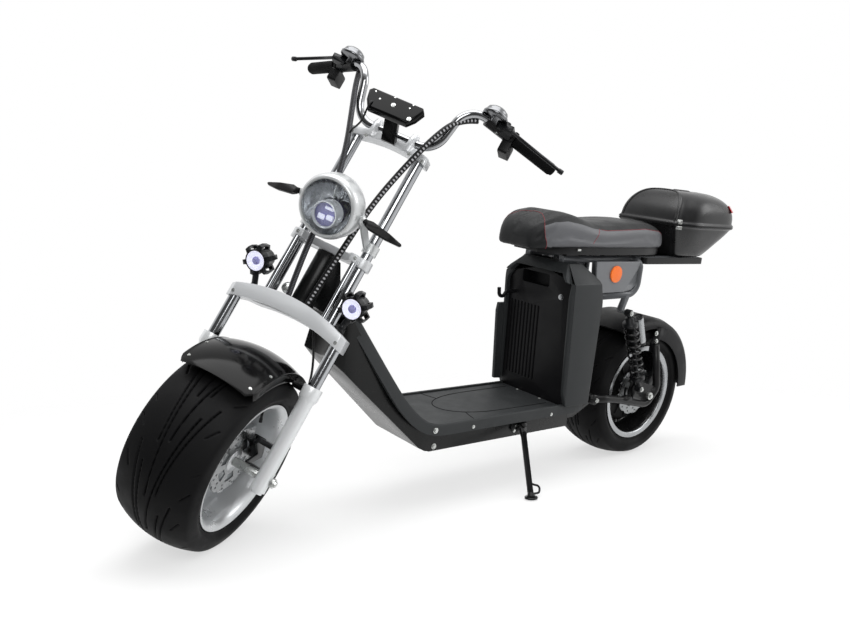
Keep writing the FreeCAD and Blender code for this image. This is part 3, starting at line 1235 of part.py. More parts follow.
def main():
    os.makedirs("parts", exist_ok=True)
    turn, ground, pitch = parked()
    up = turn.inverted().multVec(vec(0, 0, 1))
    length = stand_length(turn, ground)

    rear = vec(0, 0, AXLE_HEIGHT)
    fork = {
        "lower_clamp": lower_clamp(),
        "middle_clamp": middle_clamp(),
        "top_clamp": top_clamp(),
        "fork_tubes": fork_tubes(),
        "fork_legs": Part.makeCompound([fork_leg(1), fork_leg(-1)]),
        "front_axle": front_axle(),
        "front_mudguard": front_mudguard(),
        "front_caliper": front_caliper(),
        "headlamp_shell": headlamp_shell(),
        "headlamp_lens": headlamp_lens_solid(),
        "fog_lamps": Part.makeCompound([fog_lamp(1), fog_lamp(-1)]),
        "fog_lenses": Part.makeCompound([fog_lens(1), fog_lens(-1)]),
        "turn_signals": Part.makeCompound([turn_signal(1), turn_signal(-1)]),
        "handlebar": handlebar(),
        "grips": Part.makeCompound([grip(1), grip(-1)]),
        "brake_levers": Part.makeCompound([brake_lever(1), brake_lever(-1)]),
        "control_pods": Part.makeCompound([control_pod(1), control_pod(-1)]),
        "sound_pods": Part.makeCompound([speaker(1), speaker(-1)]),
        "display": display(),
        "cable_looms": cable_looms(),
        "front_tyre": tyre(),
        "front_rim": front_rim(),
        "front_disc": brake_disc(HUB_RADIUS - 6, DISC_OFFSET),
    }
    chassis = {
        "frame_beam": frame_beam(),
        "deck_tray": deck_tray(),
        "battery_housing": battery_housing(),
        "battery_pack": battery_pack(),
        "rear_frame": rear_frame(),
        "side_panels": Part.makeCompound([side_panel(1), side_panel(-1)]),
        "side_reflectors": Part.makeCompound([side_reflector(1), side_reflector(-1)]),
        "seat_base": seat_base(),
        "seat_cushion": seat_cushion(),
        "carrier_plate": carrier_plate(),
        "box_base": box_base(),
        "box_lid": box_lid(),
        "lid_reflectors": Part.makeCompound([lid_reflector(1), lid_reflector(-1)]),
        "swing_arm": swing_arm(),
        "shocks": Part.makeCompound([shock_body(1), shock_body(-1)]),
        "shock_springs": Part.makeCompound([shock_spring(1), shock_spring(-1)]),
        "rear_mudguard": rear_mudguard(),
        "tail_bracket": tail_bracket(),
        "rear_axle": rear_axle(),
        "rear_caliper": rear_caliper(),
        "rear_tyre": tyre().translated(rear),
        "rear_rim": rear_rim().translated(rear),
        "hub_motor": hub_motor().translated(rear),
        "rear_disc": brake_disc(36, REAR_DISC_OFFSET).translated(rear),
        "side_stand": side_stand(length, up),
        "stand_bracket": stand_bracket(),
    }
    pieces = {name: fork_place(steer_turn(shape)) for name, shape in fork.items()}
    pieces.update(chassis)
    place = FreeCAD.Placement(vec(0, 0, -ground), turn)
    whole = FreeCAD.BoundBox()
    for name, shape in pieces.items():
        moved = shape.copy()
        moved.transformShape(place.toMatrix(), True, False)
        pieces[name] = moved
        for point in moved.tessellate(0.5)[0]:
            whole.add(point)
    centre = vec((whole.XMin + whole.XMax) / 2, (whole.YMin + whole.YMax) / 2, whole.ZMin)
    for name, shape in pieces.items():
        shape.translate(-centre)
        shape.exportStep("parts/" + name + ".step")
        print("NODE", name, len(shape.Solids), shape.isValid(), round(shape.Volume))

    def settled(point):
        return place.multVec(point) - centre

    def heading(direction):
        return turn.multVec(direction).normalize()

    steer_at = settled(fork_point(vec(STEER_X, 0, 480)))
    mirror_x, mirror_y_at, mirror_z = mirror_thread()
    facts = {
        "size": (whole.XLength, whole.YLength, whole.ZLength),
        "pitch": (pitch,),
        "stand_length": (length,),
        "steering_pos": steer_at,
        "steering_axis": heading(fork_direction(vec(0, 0, 1), False)),
        "front_wheel_pos": settled(steer_point(vec(0, 0, 0))),
        "front_wheel_axis": heading(fork_direction(vec(0, 1, 0), True)),
        "rear_wheel_pos": settled(rear),
        "rear_wheel_axis": heading(vec(0, 1, 0)),
        "stand_pos": settled(vec(*STAND_PIVOT)),
        "stand_axis": heading(stand_axis()),
        "lid_pos": settled(vec(BOX_FRONT + 5, 0, BOX_SEAM + LID_GAP / 2)),
        "lid_axis": heading(vec(0, 1, 0)),
        "origin_shift": centre,
        "ground": (ground,),
        "mirror_left": settled(steer_point(vec(mirror_x, mirror_y_at, mirror_z))),
        "mirror_right": settled(steer_point(vec(mirror_x, -mirror_y_at, mirror_z))),
        "mirror_axis": heading(fork_direction(vec(0, 0, 1), True)),
    }
    for name, value in facts.items():
        print("FACT", name, *[round(float(v), 5) for v in value])


main()
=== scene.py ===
"""Looks of a fat-tyred electric motor scooter, parked on its side stand with the steering turned left."""

import json
import math

import bmesh
import bpy
import numpy as np
from mathutils import Matrix, Vector
from mathutils.bvhtree import BVHTree


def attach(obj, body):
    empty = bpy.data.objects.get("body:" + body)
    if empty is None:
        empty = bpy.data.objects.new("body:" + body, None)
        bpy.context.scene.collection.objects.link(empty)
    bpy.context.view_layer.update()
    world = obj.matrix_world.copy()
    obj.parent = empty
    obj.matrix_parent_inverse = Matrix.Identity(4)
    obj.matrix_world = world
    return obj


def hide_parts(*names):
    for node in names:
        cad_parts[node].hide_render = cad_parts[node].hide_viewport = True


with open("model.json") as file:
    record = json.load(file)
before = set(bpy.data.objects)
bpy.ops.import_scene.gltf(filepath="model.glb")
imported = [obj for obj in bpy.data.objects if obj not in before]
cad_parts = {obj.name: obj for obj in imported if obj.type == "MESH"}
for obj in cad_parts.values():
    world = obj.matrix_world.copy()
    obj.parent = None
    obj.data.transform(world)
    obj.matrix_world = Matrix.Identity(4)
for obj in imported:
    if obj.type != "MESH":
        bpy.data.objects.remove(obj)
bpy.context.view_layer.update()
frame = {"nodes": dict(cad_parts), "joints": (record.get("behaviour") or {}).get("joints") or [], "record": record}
RECORD = frame["record"]
SLOT_OF = {part["node"]: part["material_slot"] for part in RECORD["subparts"]}
BODY_OF = {node: body for body, nodes in RECORD["behaviour"]["bodies"].items() for node in nodes}
JOINTS = {joint["name"]: joint for joint in frame["joints"]}

MM = 0.001
RAKE = math.radians(29.0)
TYRE_RADIUS = 238.5
TREAD_HALF_WIDTH = 97.0
TREAD_DROP = 20.0
SHOCK_Y = 148.0
SEAT_PAN_TOP = 750.0
BEAM_SIDE_Y = 105.0
BEAM_TOP = 238.0
# In degrees: what makes an edge of a CAD piece sharp, and what still counts as one flat face
SHARP_ANGLE = 35.0
FLAT_ANGLE = 0.8


# The frames in which pieces are modelled, in millimetres

def joint_line(name):
    """A joint's place and its axis."""
    found = JOINTS[name]
    return Vector(found["pos_m"]), Vector(found["axis"]).normalized()


def set_square(x_axis, y_axis, z_axis, origin):
    """From a frame in millimetres with these axes to the row frame in metres."""
    turn = Matrix((x_axis, y_axis, z_axis)).transposed().to_4x4()
    return Matrix.Translation(origin) @ turn @ Matrix.Scale(MM, 4)


rear_at, across = joint_line("rear_wheel_spin")
front_at, front_across = joint_line("front_wheel_spin")
steering = joint_line("steering")[1]
ahead = across.cross(steering).normalized()
forward = math.cos(RAKE) * ahead - math.sin(RAKE) * steering
upward = math.sin(RAKE) * ahead + math.cos(RAKE) * steering
CHASSIS = set_square(forward, across, upward, rear_at - upward * TYRE_RADIUS * MM)
FORK = set_square(front_across.cross(steering), front_across, steering, front_at)
REAR_WHEEL = CHASSIS @ Matrix.Translation((0, 0, TYRE_RADIUS))
LEVEL = Matrix.Rotation(RAKE, 4, "Y")
HEADLAMP = FORK @ Matrix.Translation((112, 0, 634)) @ LEVEL
DISPLAY = FORK @ Matrix.Translation((68, 0, 936)) @ Matrix.Rotation(math.radians(-14), 4, "Y")


# Mesh tools

def show(name, mesh, where, body, slot, *finishes, angle=40.0, pick=None):
    """Adds a mesh, modelled in a frame in millimetres, as a piece that rides on a body.

    pick gives a face's finish by its centre and its normal in that frame. Edges sharper than the angle
    stay sharp."""
    choice = [pick(face.center, face.normal) for face in mesh.polygons] if pick else None
    mesh.transform(where)
    mesh.materials.clear()
    for finish in finishes:
        mesh.materials.append(finish)
    if choice:
        mesh.polygons.foreach_set("material_index", choice)
    mesh.polygons.foreach_set("use_smooth", [True] * len(mesh.polygons))
    mesh.set_sharp_from_angle(angle=math.radians(angle))
    made = bpy.data.objects.new(name, mesh)
    bpy.context.scene.collection.objects.link(made)
    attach(made, body)
    return made


def dress(node, *finishes, edge=0.0, pick=None, where=CHASSIS):
    """Shows a CAD node as a merged, smooth copy; edge is how wide its sharp edges are rounded."""
    mesh = frame["nodes"][node].data.copy()
    work = bmesh.new()
    work.from_mesh(mesh)
    bmesh.ops.remove_doubles(work, verts=work.verts, dist=2e-6)
    if edge:
        bmesh.ops.dissolve_limit(work, angle_limit=math.radians(FLAT_ANGLE), verts=work.verts,
            edges=work.edges)
        sharp = [e for e in work.edges if len(e.link_faces) == 2
            and e.calc_face_angle(0.0) > math.radians(SHARP_ANGLE)]
        bmesh.ops.bevel(work, geom=sharp, offset=edge * MM, offset_type="OFFSET", segments=2, profile=0.6,
            affect="EDGES", clamp_overlap=False)
    work.to_mesh(mesh)
    work.free()
    mesh.transform(where.inverted())
    made = show(node + "_finished", mesh, where, BODY_OF[node], SLOT_OF[node], *finishes,
        angle=SHARP_ANGLE, pick=pick)
    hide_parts(node)


def mesh_of(name, points, faces, outward=True):
    mesh = bpy.data.meshes.new(name)
    mesh.from_pydata([tuple(p) for p in points], [], faces)
    mesh.update()
    if outward:
        work = bmesh.new()
        work.from_mesh(mesh)
        bmesh.ops.remove_doubles(work, verts=work.verts, dist=1e-4)
        bmesh.ops.recalc_face_normals(work, faces=work.faces)
        work.to_mesh(mesh)
        work.free()
    return mesh


def sheet_of_rings(name, rings, endless=True):
    """Quads between rings of points; the row of rings runs back into its start, or ends in two caps."""
    rings = np.asarray(rings, float)
    rows, count = rings.shape[:2]
    faces = []
    for i in range(rows if endless else rows - 1):
        a, b = i * count, (i + 1) % rows * count
        for j in range(count):
            k = (j + 1) % count
            faces.append((a + j, a + k, b + k, b + j))
    if not endless:
        faces += [tuple(range(count)), tuple((rows - 1) * count + j for j in range(count))]
    return mesh_of(name, rings.reshape(-1, 3), faces)


def turned(name, profile, steps):
    """A shape turned about the X axis from a closed profile of (x, radius) points."""
    rings = [[(x, r * math.cos(a), r * math.sin(a)) for x, r in profile] for a in np.linspace(0,
        2 * math.pi, steps, endpoint=False)]
    return sheet_of_rings(name, rings)


def block(size, centre, edge):
    """A bar with rounded edges, of this size about its centre."""
    work = bmesh.new()
    bmesh.ops.create_cube(work, size=1.0)
    bmesh.ops.scale(work, vec=size, verts=work.verts)
    bmesh.ops.bevel(work, geom=work.edges, offset=edge, offset_type="OFFSET", segments=3, profile=0.5,
        affect="EDGES", clamp_overlap=True)
    bmesh.ops.translate(work, vec=centre, verts=work.verts)
    mesh = bpy.data.meshes.new("block")
    work.to_mesh(mesh)
    work.free()
    return mesh


def joined(name, meshes):
    """One mesh out of several, all in the same frame."""
    work = bmesh.new()
    for mesh in meshes:
        work.from_mesh(mesh)
    whole = bpy.data.meshes.new(name)
    work.to_mesh(whole)
    work.free()
    return whole


def moved(mesh, where):
    mesh.transform(where)
    if where.determinant() < 0:
        mesh.flip_normals()
    return mesh


def pair(name, mesh):
    """A mesh and its mirror image on the machine's other side."""
    return joined(name, [mesh, moved(mesh.copy(), Matrix.Scale(-1, 4, (0, 1, 0)))])


def facing(at, towards):
    """A frame at a point with its X axis towards a direction."""
    return Matrix.Translation(at) @ Vector(towards).to_track_quat("X", "Z").to_matrix().to_4x4()


def carrier(mesh):
    """A plain object that only carries modifiers."""
    made = bpy.data.objects.new("carrier", mesh)
    bpy.context.scene.collection.objects.link(made)
    return made


def settled(made, name):
    """The mesh that an object's modifiers make; the object goes."""
    graph = bpy.context.evaluated_depsgraph_get()
    mesh = bpy.data.meshes.new_from_object(made.evaluated_get(graph))
    mesh.name = name
    bpy.data.objects.remove(made)
    return mesh


def nurbs_line(route, steps):
    """Points read from one smooth NURBS spline with the route's points as its control points."""
    curve = bpy.data.curves.new("route", "CURVE")
    curve.dimensions = "3D"
    curve.resolution_u = max(2, steps // max(1, len(route) - 1))
    spline = curve.splines.new("NURBS")
    spline.points.add(len(route) - 1)
    for point, here in zip(spline.points, route):
        point.co = (*here, 1.0)
    spline.order_u = 3
    spline.use_endpoint_u = True
    mesh = settled(carrier(curve), "route")
    return [v.co.copy() for v in mesh.vertices]


def tube_on(line, radius, sides):
    """A tube with capped ends round a line of points, and a UV map of turns round and millimetres along."""
    line = [Vector(p) for p in line]
    heading = (line[1] - line[0]).normalized()
    side = heading.orthogonal().normalized()
    points, run = [], [0.0]
    for index, here in enumerate(line):
        before, after = line[max(0, index - 1)], line[min(len(line) - 1, index + 1)]
        heading = (after - before).normalized()
        side = (side - heading * side.dot(heading)).normalized()
        up = heading.cross(side)
        points += [here + (side * math.cos(a) + up * math.sin(a)) * radius for a in np.linspace(0,
            2 * math.pi, sides, endpoint=False)]
        run.append(run[-1] + (after - here).length)
    faces, marks = [], []
    for i in range(len(line) - 1):
        for j in range(sides):
            k = (j + 1) % sides
            faces.append((i * sides + j, i * sides + k, (i + 1) * sides + k, (i + 1) * sides + j))
            u, v = j / sides, (j + 1) / sides
            marks += [(u, run[i]), (v, run[i]), (v, run[i + 1]), (u, run[i + 1])]
    last = (len(line) - 1) * sides
    faces += [tuple(range(sides))[::-1], tuple(last + j for j in range(sides))]
    marks += [(0, 0)] * sides + [(0, run[-2])] * sides
    mesh = mesh_of("tube", points, faces, outward=False)
    chart = mesh.uv_layers.new(name="round_and_along")
    chart.data.foreach_set("uv", [value for mark in marks for value in mark])
    return mesh


def cut_along(work, height):
    """Cuts a mesh where a function of the point passes zero, and gives the edges of the cut."""
    level = {v: height(v.co) or 1e-6 for v in work.verts}
    fresh = set()
    for edge in [e for e in work.edges if level[e.verts[0]] * level[e.verts[1]] < 0]:
        start, end = edge.verts
        fresh.add(bmesh.utils.edge_split(edge, start, level[start] / (level[start] - level[end]))[1])
    for face in list(work.faces):
        ends = [v for v in face.verts if v in fresh]
        if len(ends) == 2 and not work.edges.get(ends):
            bmesh.utils.face_split(face, *ends)
    return [e for e in work.edges if e.verts[0] in fresh and e.verts[1] in fresh]


def line_mesh(edges, wanted):
    """The points and edges of a seam, without its faces, where a point is wanted."""
    kept = [e for e in edges if all(wanted(v.co) for v in e.verts)]
    places = {v: n for n, v in enumerate({v: None for e in kept for v in e.verts})}
    mesh = bpy.data.meshes.new("seam")
    mesh.from_pydata([v.co.copy() for v in places],
        [(places[e.verts[0]], places[e.verts[1]]) for e in kept], [])
    return mesh


# Materials

def linear(code):
    """An sRGB hex colour as linear red, green, blue and alpha."""
    parts = [int(code[i:i + 2], 16) / 255 for i in (1, 3, 5)]
    return tuple(p / 12.92 if p <= 0.04045 else ((p + 0.055) / 1.055) ** 2.4 for p in parts) + (1.0,)


def per(size_mm):
    """A texture scale that gives features of this size, on coordinates in metres."""
    return 1000.0 / size_mm


def add(tree, kind, inputs=None, **settings):
    """Adds a node with its settings, and its inputs as values or as links; a node gives its first output."""
    made = tree.nodes.new(kind)
    for name, value in settings.items():
        setattr(made, name, value)
    for name, value in (inputs or {}).items():
        for each in value if isinstance(value, list) else [value]:
            if isinstance(each, bpy.types.Node):
                each = each.outputs[0]
            if isinstance(each, bpy.types.NodeSocket):
                tree.links.new(each, made.inputs[name])
            else:
                made.inputs[name].default_value = each
    return made


def blank(name, colour, roughness, metallic=0.0, shine=0.5, **shader):
    """A new material, its tree and its shader, set to one finish."""
    finish = bpy.data.materials.new(name)
    finish.use_nodes = True
    finish.diffuse_color = linear(colour)
    tree = finish.node_tree
    surface = tree.nodes["Principled BSDF"]
    surface.inputs["Base Color"].default_value = linear(colour)
    surface.inputs["Roughness"].default_value = roughness
    surface.inputs["Metallic"].default_value = metallic
    surface.inputs["Specular IOR Level"].default_value = shine
    for key, value in shader.items():
        surface.inputs[key.replace("_", " ")].default_value = value
    return finish, tree, surface


def moulded(name, colour, other, roughness, grain_mm, depth_mm, spread=0.08, metallic=0.0, blotch_mm=60.0,
        cells=False, shine=0.5, **shader):
    """A finish with a fine surface grain, and slow drifts in its colour and gloss."""
    finish, tree, surface = blank(name, colour, roughness, metallic, shine, **shader)
    spot = add(tree, "ShaderNodeTexCoord").outputs["Object"]
    drift = add(tree, "ShaderNodeTexNoise", {"Vector": spot, "Scale": per(blotch_mm), "Detail": 5.0,
        "Roughness": 0.6})
    tone = add(tree, "ShaderNodeMix", {0: drift, 6: linear(colour), 7: linear(other)}, data_type="RGBA")
    tree.links.new(tone.outputs[2], surface.inputs["Base Color"])
    gloss = add(tree, "ShaderNodeMapRange", {"Value": drift, "From Min": 0.3, "From Max": 0.7,
        "To Min": max(0.02, roughness - spread), "To Max": min(1.0, roughness + spread)})
    tree.links.new(gloss.outputs["Result"], surface.inputs["Roughness"])
    if cells:
        grain = add(tree, "ShaderNodeTexVoronoi", {"Vector": spot, "Scale": per(grain_mm)},
            feature="SMOOTH_F1")
    else:
        grain = add(tree, "ShaderNodeTexNoise", {"Vector": spot, "Scale": per(grain_mm), "Detail": 3.0})
    bump = add(tree, "ShaderNodeBump", {"Height": grain, "Distance": depth_mm * MM, "Strength": 1.0})
    tree.links.new(bump.outputs["Normal"], surface.inputs["Normal"])
    return finish


def braided(name, colour, fleck, rows, pitch_mm, share):
    """A braided sleeve: a dark weave with pale flecks in rows along it, on the tube's own map."""
    finish, tree, surface = blank(name, colour, 0.5, shine=0.3)
    chart = add(tree, "ShaderNodeUVMap", uv_map="round_and_along")
    laid = add(tree, "ShaderNodeMapping", {"Vector": chart, "Scale": (rows, 1 / pitch_mm, 1)})
    dots = add(tree, "ShaderNodeTexVoronoi", {"Vector": laid, "Scale": 1.0, "Randomness": 0.0},
        voronoi_dimensions="2D")
    lit = add(tree, "ShaderNodeMapRange", {"Value": dots, "From Min": share, "From Max": share + 0.12,
        "To Min": 1.0, "To Max": 0.0})
    tone = add(tree, "ShaderNodeMix", {0: lit, 6: linear(colour), 7: linear(fleck)}, data_type="RGBA")
    tree.links.new(tone.outputs[2], surface.inputs["Base Color"])
    strand = add(tree, "ShaderNodeMapping", {"Vector": chart, "Scale": (rows * 3, 3 / pitch_mm, 1)})
    weave = add(tree, "ShaderNodeTexVoronoi", {"Vector": strand, "Scale": 1.0, "Randomness": 0.2},
        voronoi_dimensions="2D")
    bump = add(tree, "ShaderNodeBump", {"Height": weave, "Distance": 0.5 * MM, "Strength": 1.0})
    tree.links.new(bump.outputs["Normal"], surface.inputs["Normal"])
    return finish


# Silver lacquer on cast aluminium: even and pale, a soft wide highlight with fine metal flake
silver_lacquer = moulded("silver_lacquer_on_cast_aluminium", "#d3d5d7", "#c9cbcd", 0.36, 1.2, 0.012,
    metallic=0.4, blotch_mm=120, Coat_Weight=0.2, Coat_Roughness=0.2)
# Clear lacquer over ground aluminium on the legs: paler and glossier than the clamps
leg_lacquer = moulded("clear_lacquer_on_ground_aluminium", "#e9ebec", "#dddfe0", 0.32, 1.0, 0.01,
    metallic=0.4, blotch_mm=160)
# Chrome plate on steel tube: a mirror with faint polishing haze
chrome_plate = moulded("bright_chrome_plate", "#a9aaac", "#9c9d9f", 0.12, 9.0, 0.004, spread=0.03,
    metallic=1.0)
# Hard chrome on the fork's bars, ground: a slightly softer mirror
hard_chrome = moulded("hard_chrome_fork_tube", "#b4b6b9", "#a6a8ab", 0.14, 3.0, 0.004, spread=0.04,
    metallic=1.0)
# Thin chrome on moulded covers: a dark soft mirror, and zinc on bolts and nuts: pale and frosted
satin_chrome = moulded("satin_chromed_cover", "#7f8082", "#727375", 0.22, 6.0, 0.01, metallic=1.0)
zinc_plate = moulded("zinc_plated_steel", "#d2d4d3", "#b6b8b4", 0.28, 1.5, 0.02, metallic=0.9)
# Black lacquer: deep and glossy with slightly wavy reflections, and softer on the pressed beam
black_lacquer = moulded("gloss_black_lacquer_on_steel", "#060607", "#090909", 0.12, 14.0, 0.01, spread=0.04,
    blotch_mm=200, shine=0.13)
beam_lacquer = moulded("black_lacquer_on_pressed_steel", "#090a0a", "#0d0e0e", 0.28, 9.0, 0.02, spread=0.05,
    blotch_mm=180, shine=0.25)
# Black powder coat on the arm, stand and carrier: orange-peel skin, half gloss
powder_coat = moulded("satin_black_powder_coat", "#101011", "#161617", 0.34, 2.2, 0.04, shine=0.25)
# Grey powder coat on the rear frame's tubes: the same skin, with a hint of metal
grey_powder = moulded("satin_grey_powder_coat", "#4a4c4f", "#535558", 0.36, 2.2, 0.05, metallic=0.2)
# Pressed steel cheeks in grey lacquer: even, with a clear wet highlight
grey_lacquer = moulded("grey_lacquer_on_steel", "#6b6d70", "#616366", 0.33, 5.0, 0.015, Coat_Weight=0.3,
    Coat_Roughness=0.2)
# Injection-moulded ABS with a fine spark-eroded grain: dull, and clearer on the pan and the box
abs_grey = moulded("moulded_dark_grey_abs", "#282a2b", "#2f3132", 0.42, 0.9, 0.05, shine=0.2)
abs_black = moulded("moulded_black_abs", "#0c0c0d", "#121214", 0.45, 0.9, 0.05, shine=0.15)
abs_satin = moulded("satin_black_abs", "#131314", "#19191a", 0.34, 0.9, 0.03, shine=0.25)
abs_box = moulded("grained_black_abs_shell", "#161617", "#1c1c1d", 0.3, 1.4, 0.03, cells=True, shine=0.4)
# Glass-filled nylon of switches and levers' perches: dull black, faintly rough
nylon_black = moulded("black_nylon", "#0b0b0c", "#111112", 0.4, 0.8, 0.04, shine=0.18)
# Rubber mat of the footboard, with a fine pebble that breaks the light; a darker rubber for the mat's seam beads,
# which is also used as painted shade in the seam between rim and mat
mat_rubber = moulded("pebbled_rubber_mat", "#282a2b", "#303233", 0.6, 1.3, 0.16, cells=True, shine=0.3)
# Dark rubber: the real colour of the mat's seam beads, and painted shade in the seam between rim and mat
joint_rubber_and_painted_shade = moulded("rubber_joints_and_painted_seam_shade", "#0d0d0d", "#131313", 0.8, 1.3, 0.05, shine=0.1)
# Tyre rubber: dull and very dark, a little dusty in patches; the grips duller, the hose smoother
tyre_rubber = moulded("tyre_rubber", "#060607", "#0e0e0f", 0.62, 1.6, 0.06, spread=0.12, blotch_mm=90,
    shine=0.14)
grip_rubber = moulded("grip_rubber", "#060607", "#0b0b0c", 0.7, 0.7, 0.06, shine=0.06)
hose_rubber = moulded("hose_rubber", "#0c0c0d", "#141415", 0.5, 1.0, 0.03, shine=0.3)
# Cast aluminium: lacquered clear over turned faces it is bright silver, in black it is glossy
cast_rim = moulded("lacquered_cast_aluminium", "#d4d6d7", "#c6c8ca", 0.3, 2.5, 0.01, spread=0.04,
    metallic=0.7)
black_rim = moulded("gloss_black_cast_aluminium", "#0e0e0f", "#161617", 0.25, 3.0, 0.02, shine=0.4)
# Stainless brake disc, ground: grey with a broad soft highlight
disc_steel = moulded("ground_stainless_disc", "#9d9fa0", "#8a8c8d", 0.3, 0.8, 0.01, metallic=1.0)
# Anodised aluminium: black with a metal sheen, and bare machined faces: bright and soft
black_anodised = moulded("black_anodised_aluminium", "#131416", "#1b1c1e", 0.34, 1.2, 0.03, metallic=0.3,
    shine=0.35)
machined_alloy = moulded("machined_aluminium", "#b4b6b8", "#9c9ea0", 0.28, 0.8, 0.02, metallic=1.0)
# Lacquered spring steel: sharp highlights along the wire, and the motor's rough dull casting
spring_lacquer = moulded("black_lacquered_spring_steel", "#0b0b0c", "#121213", 0.2, 4.0, 0.01)
motor_cover = moulded("black_cast_motor_cover", "#0e0e0f", "#151516", 0.5, 1.2, 0.10, shine=0.2)
# Leatherette, fine-pored and soft, and its waxed thread
leather_dark = moulded("charcoal_leatherette", "#151617", "#1c1d1e", 0.48, 1.5, 0.12, cells=True,
    shine=0.25)
leather_grey = moulded("grey_leatherette", "#525356", "#5d5e61", 0.46, 1.5, 0.12, cells=True, shine=0.4)
thread_red = moulded("waxed_red_thread", "#8c2630", "#6d1c25", 0.6, 0.5, 0.08)
# Prismatic acrylic: a bright colour broken into small glassy facets
amber_acrylic = moulded("amber_prismatic_acrylic", "#f2670f", "#fb7d22", 0.2, 3.0, 0.25, cells=True)
red_acrylic = moulded("red_prismatic_acrylic", "#a3131c", "#c42630", 0.2, 3.0, 0.25, cells=True)
# Vacuum-metallised lamp bowl: a clean mirror, in a rim of pearly silver
lamp_mirror = moulded("metallised_lamp_bowl", "#c4c5c8", "#b4b6b9", 0.16, 5.0, 0.01, spread=0.04,
    metallic=1.0)
pearl_bezel = moulded("pearl_silver_lacquer", "#d2d4d4", "#c6c8c9", 0.3, 2.0, 0.01, metallic=0.5,
    Coat_Weight=0.4, Coat_Roughness=0.1)
# Diffusers of the lamps: white with a faint glow, and lilac where the diodes' lens is coated
lamp_white = moulded("white_lamp_diffuser", "#f1f0fb", "#dcdaf0", 0.25, 4.0, 0.05,
    Emission_Color=linear("#eceafa"), Emission_Strength=0.35)
lamp_lilac = moulded("coated_led_lens", "#8f8ac0", "#6f6aa6", 0.08, 6.0, 0.02, Coat_Weight=1.0,
    Coat_Roughness=0.02)
# Tinted glass: nearly black, with sharp reflections
screen_glass = moulded("tinted_display_glass", "#0a0c0f", "#0d1013", 0.06, 8.0, 0.005, spread=0.02)
# Braided sleeves: black with rows of pale flecks, bold on the left loom and fine on the right
bold_braid = braided("white_flecked_braid", "#0a0a0b", "#a9a9ac", 3, 10.0, 0.17)
fine_braid = braided("dark_flecked_braid", "#111113", "#5b5b60", 4, 4.0, 0.26)
# Clear polycarbonate: colourless, with a bright rim
clear_lens = blank("clear_polycarbonate_lens", "#fbfdff", 0.02, Transmission_Weight=1.0, IOR=1.3)[0]


# Pieces that repeat, grown by geometry trees

def growing_tree(name, sizes):
    """A geometry tree with named inputs; gives the tree, the inputs' keys and its two ends."""
    tree = bpy.data.node_groups.new(name, "GeometryNodeTree")
    tree.interface.new_socket("Geometry", in_out="INPUT", socket_type="NodeSocketGeometry")
    keys = {}
    for label, kind in sizes.items():
        keys[label] = tree.interface.new_socket(label, in_out="INPUT",
            socket_type="NodeSocket" + kind).identifier
    tree.interface.new_socket("Geometry", in_out="OUTPUT", socket_type="NodeSocketGeometry")
    return tree, keys, add(tree, "NodeGroupInput").outputs, add(tree, "NodeGroupOutput").inputs[0]


def close_tree(tree, pieces, finish, end):
    """Ends a tree with real geometry in one finish."""
    real = add(tree, "GeometryNodeRealizeInstances", {0: pieces})
    coated = add(tree, "GeometryNodeSetMaterial", {"Geometry": real, "Material": finish})
    tree.links.new(coated.outputs[0], end)


def grown(mesh, kind, **sizes):
    """The mesh that one kind of tree grows on another mesh."""
    tree, keys = kind
    made = carrier(mesh)
    modifier = made.modifiers.new("grow", "NODES")
    modifier.node_group = tree
    for label, value in sizes.items():
        modifier[keys[label.replace("_", " ")]] = value
    return settled(made, tree.name)


def fastener_tree():
    """Heads on washers at points, each along the point's own direction."""
    tree, keys, given, end = growing_tree("fastener_heads", {"Head Radius": "Float", "Head Height": "Float",
        "Sides": "Int", "Washer Radius": "Float", "Finish": "Material"})
    washer = add(tree, "GeometryNodeMeshCylinder", {"Vertices": 24, "Radius": given["Washer Radius"],
        "Depth": 1.6})
    top = add(tree, "ShaderNodeMath", {0: given["Head Radius"], 1: 0.84}, operation="MULTIPLY")
    head = add(tree, "GeometryNodeMeshCone", {"Vertices": given["Sides"], "Radius Top": top,
        "Radius Bottom": given["Head Radius"], "Depth": given["Head Height"]})
    whole = add(tree, "GeometryNodeJoinGeometry", {0: [washer, head]})
    aim = add(tree, "GeometryNodeInputNamedAttribute", {"Name": "aim"}, data_type="FLOAT_VECTOR")
    turn = add(tree, "FunctionNodeAlignRotationToVector", {"Vector": aim}, axis="Z")
    set_out = add(tree, "GeometryNodeInstanceOnPoints", {"Points": given["Geometry"], "Instance": whole,
        "Rotation": turn})
    close_tree(tree, set_out, given["Finish"], end)
    return tree, keys


def stitch_tree():
    """Short stitches along a seam's line."""
    tree, keys, given, end = growing_tree("seam_stitches", {"Pitch": "Float", "Stitch Length": "Float",
        "Thread Radius": "Float", "Finish": "Material"})
    line = add(tree, "GeometryNodeMeshToCurve", {"Mesh": given["Geometry"]})
    steps = add(tree, "GeometryNodeResampleCurve", {"Curve": line, "Length": given["Pitch"]}, mode="LENGTH")
    thread = add(tree, "GeometryNodeMeshCylinder",
        {"Vertices": 8, "Side Segments": 2, "Radius": given["Thread Radius"],
        "Depth": given["Stitch Length"]})
    way = add(tree, "GeometryNodeInputTangent")
    turn = add(tree, "FunctionNodeAlignRotationToVector", {"Vector": way}, axis="Z")
    set_out = add(tree, "GeometryNodeInstanceOnPoints",
        {"Points": steps, "Instance": thread, "Rotation": turn})
    close_tree(tree, set_out, given["Finish"], end)
    return tree, keys


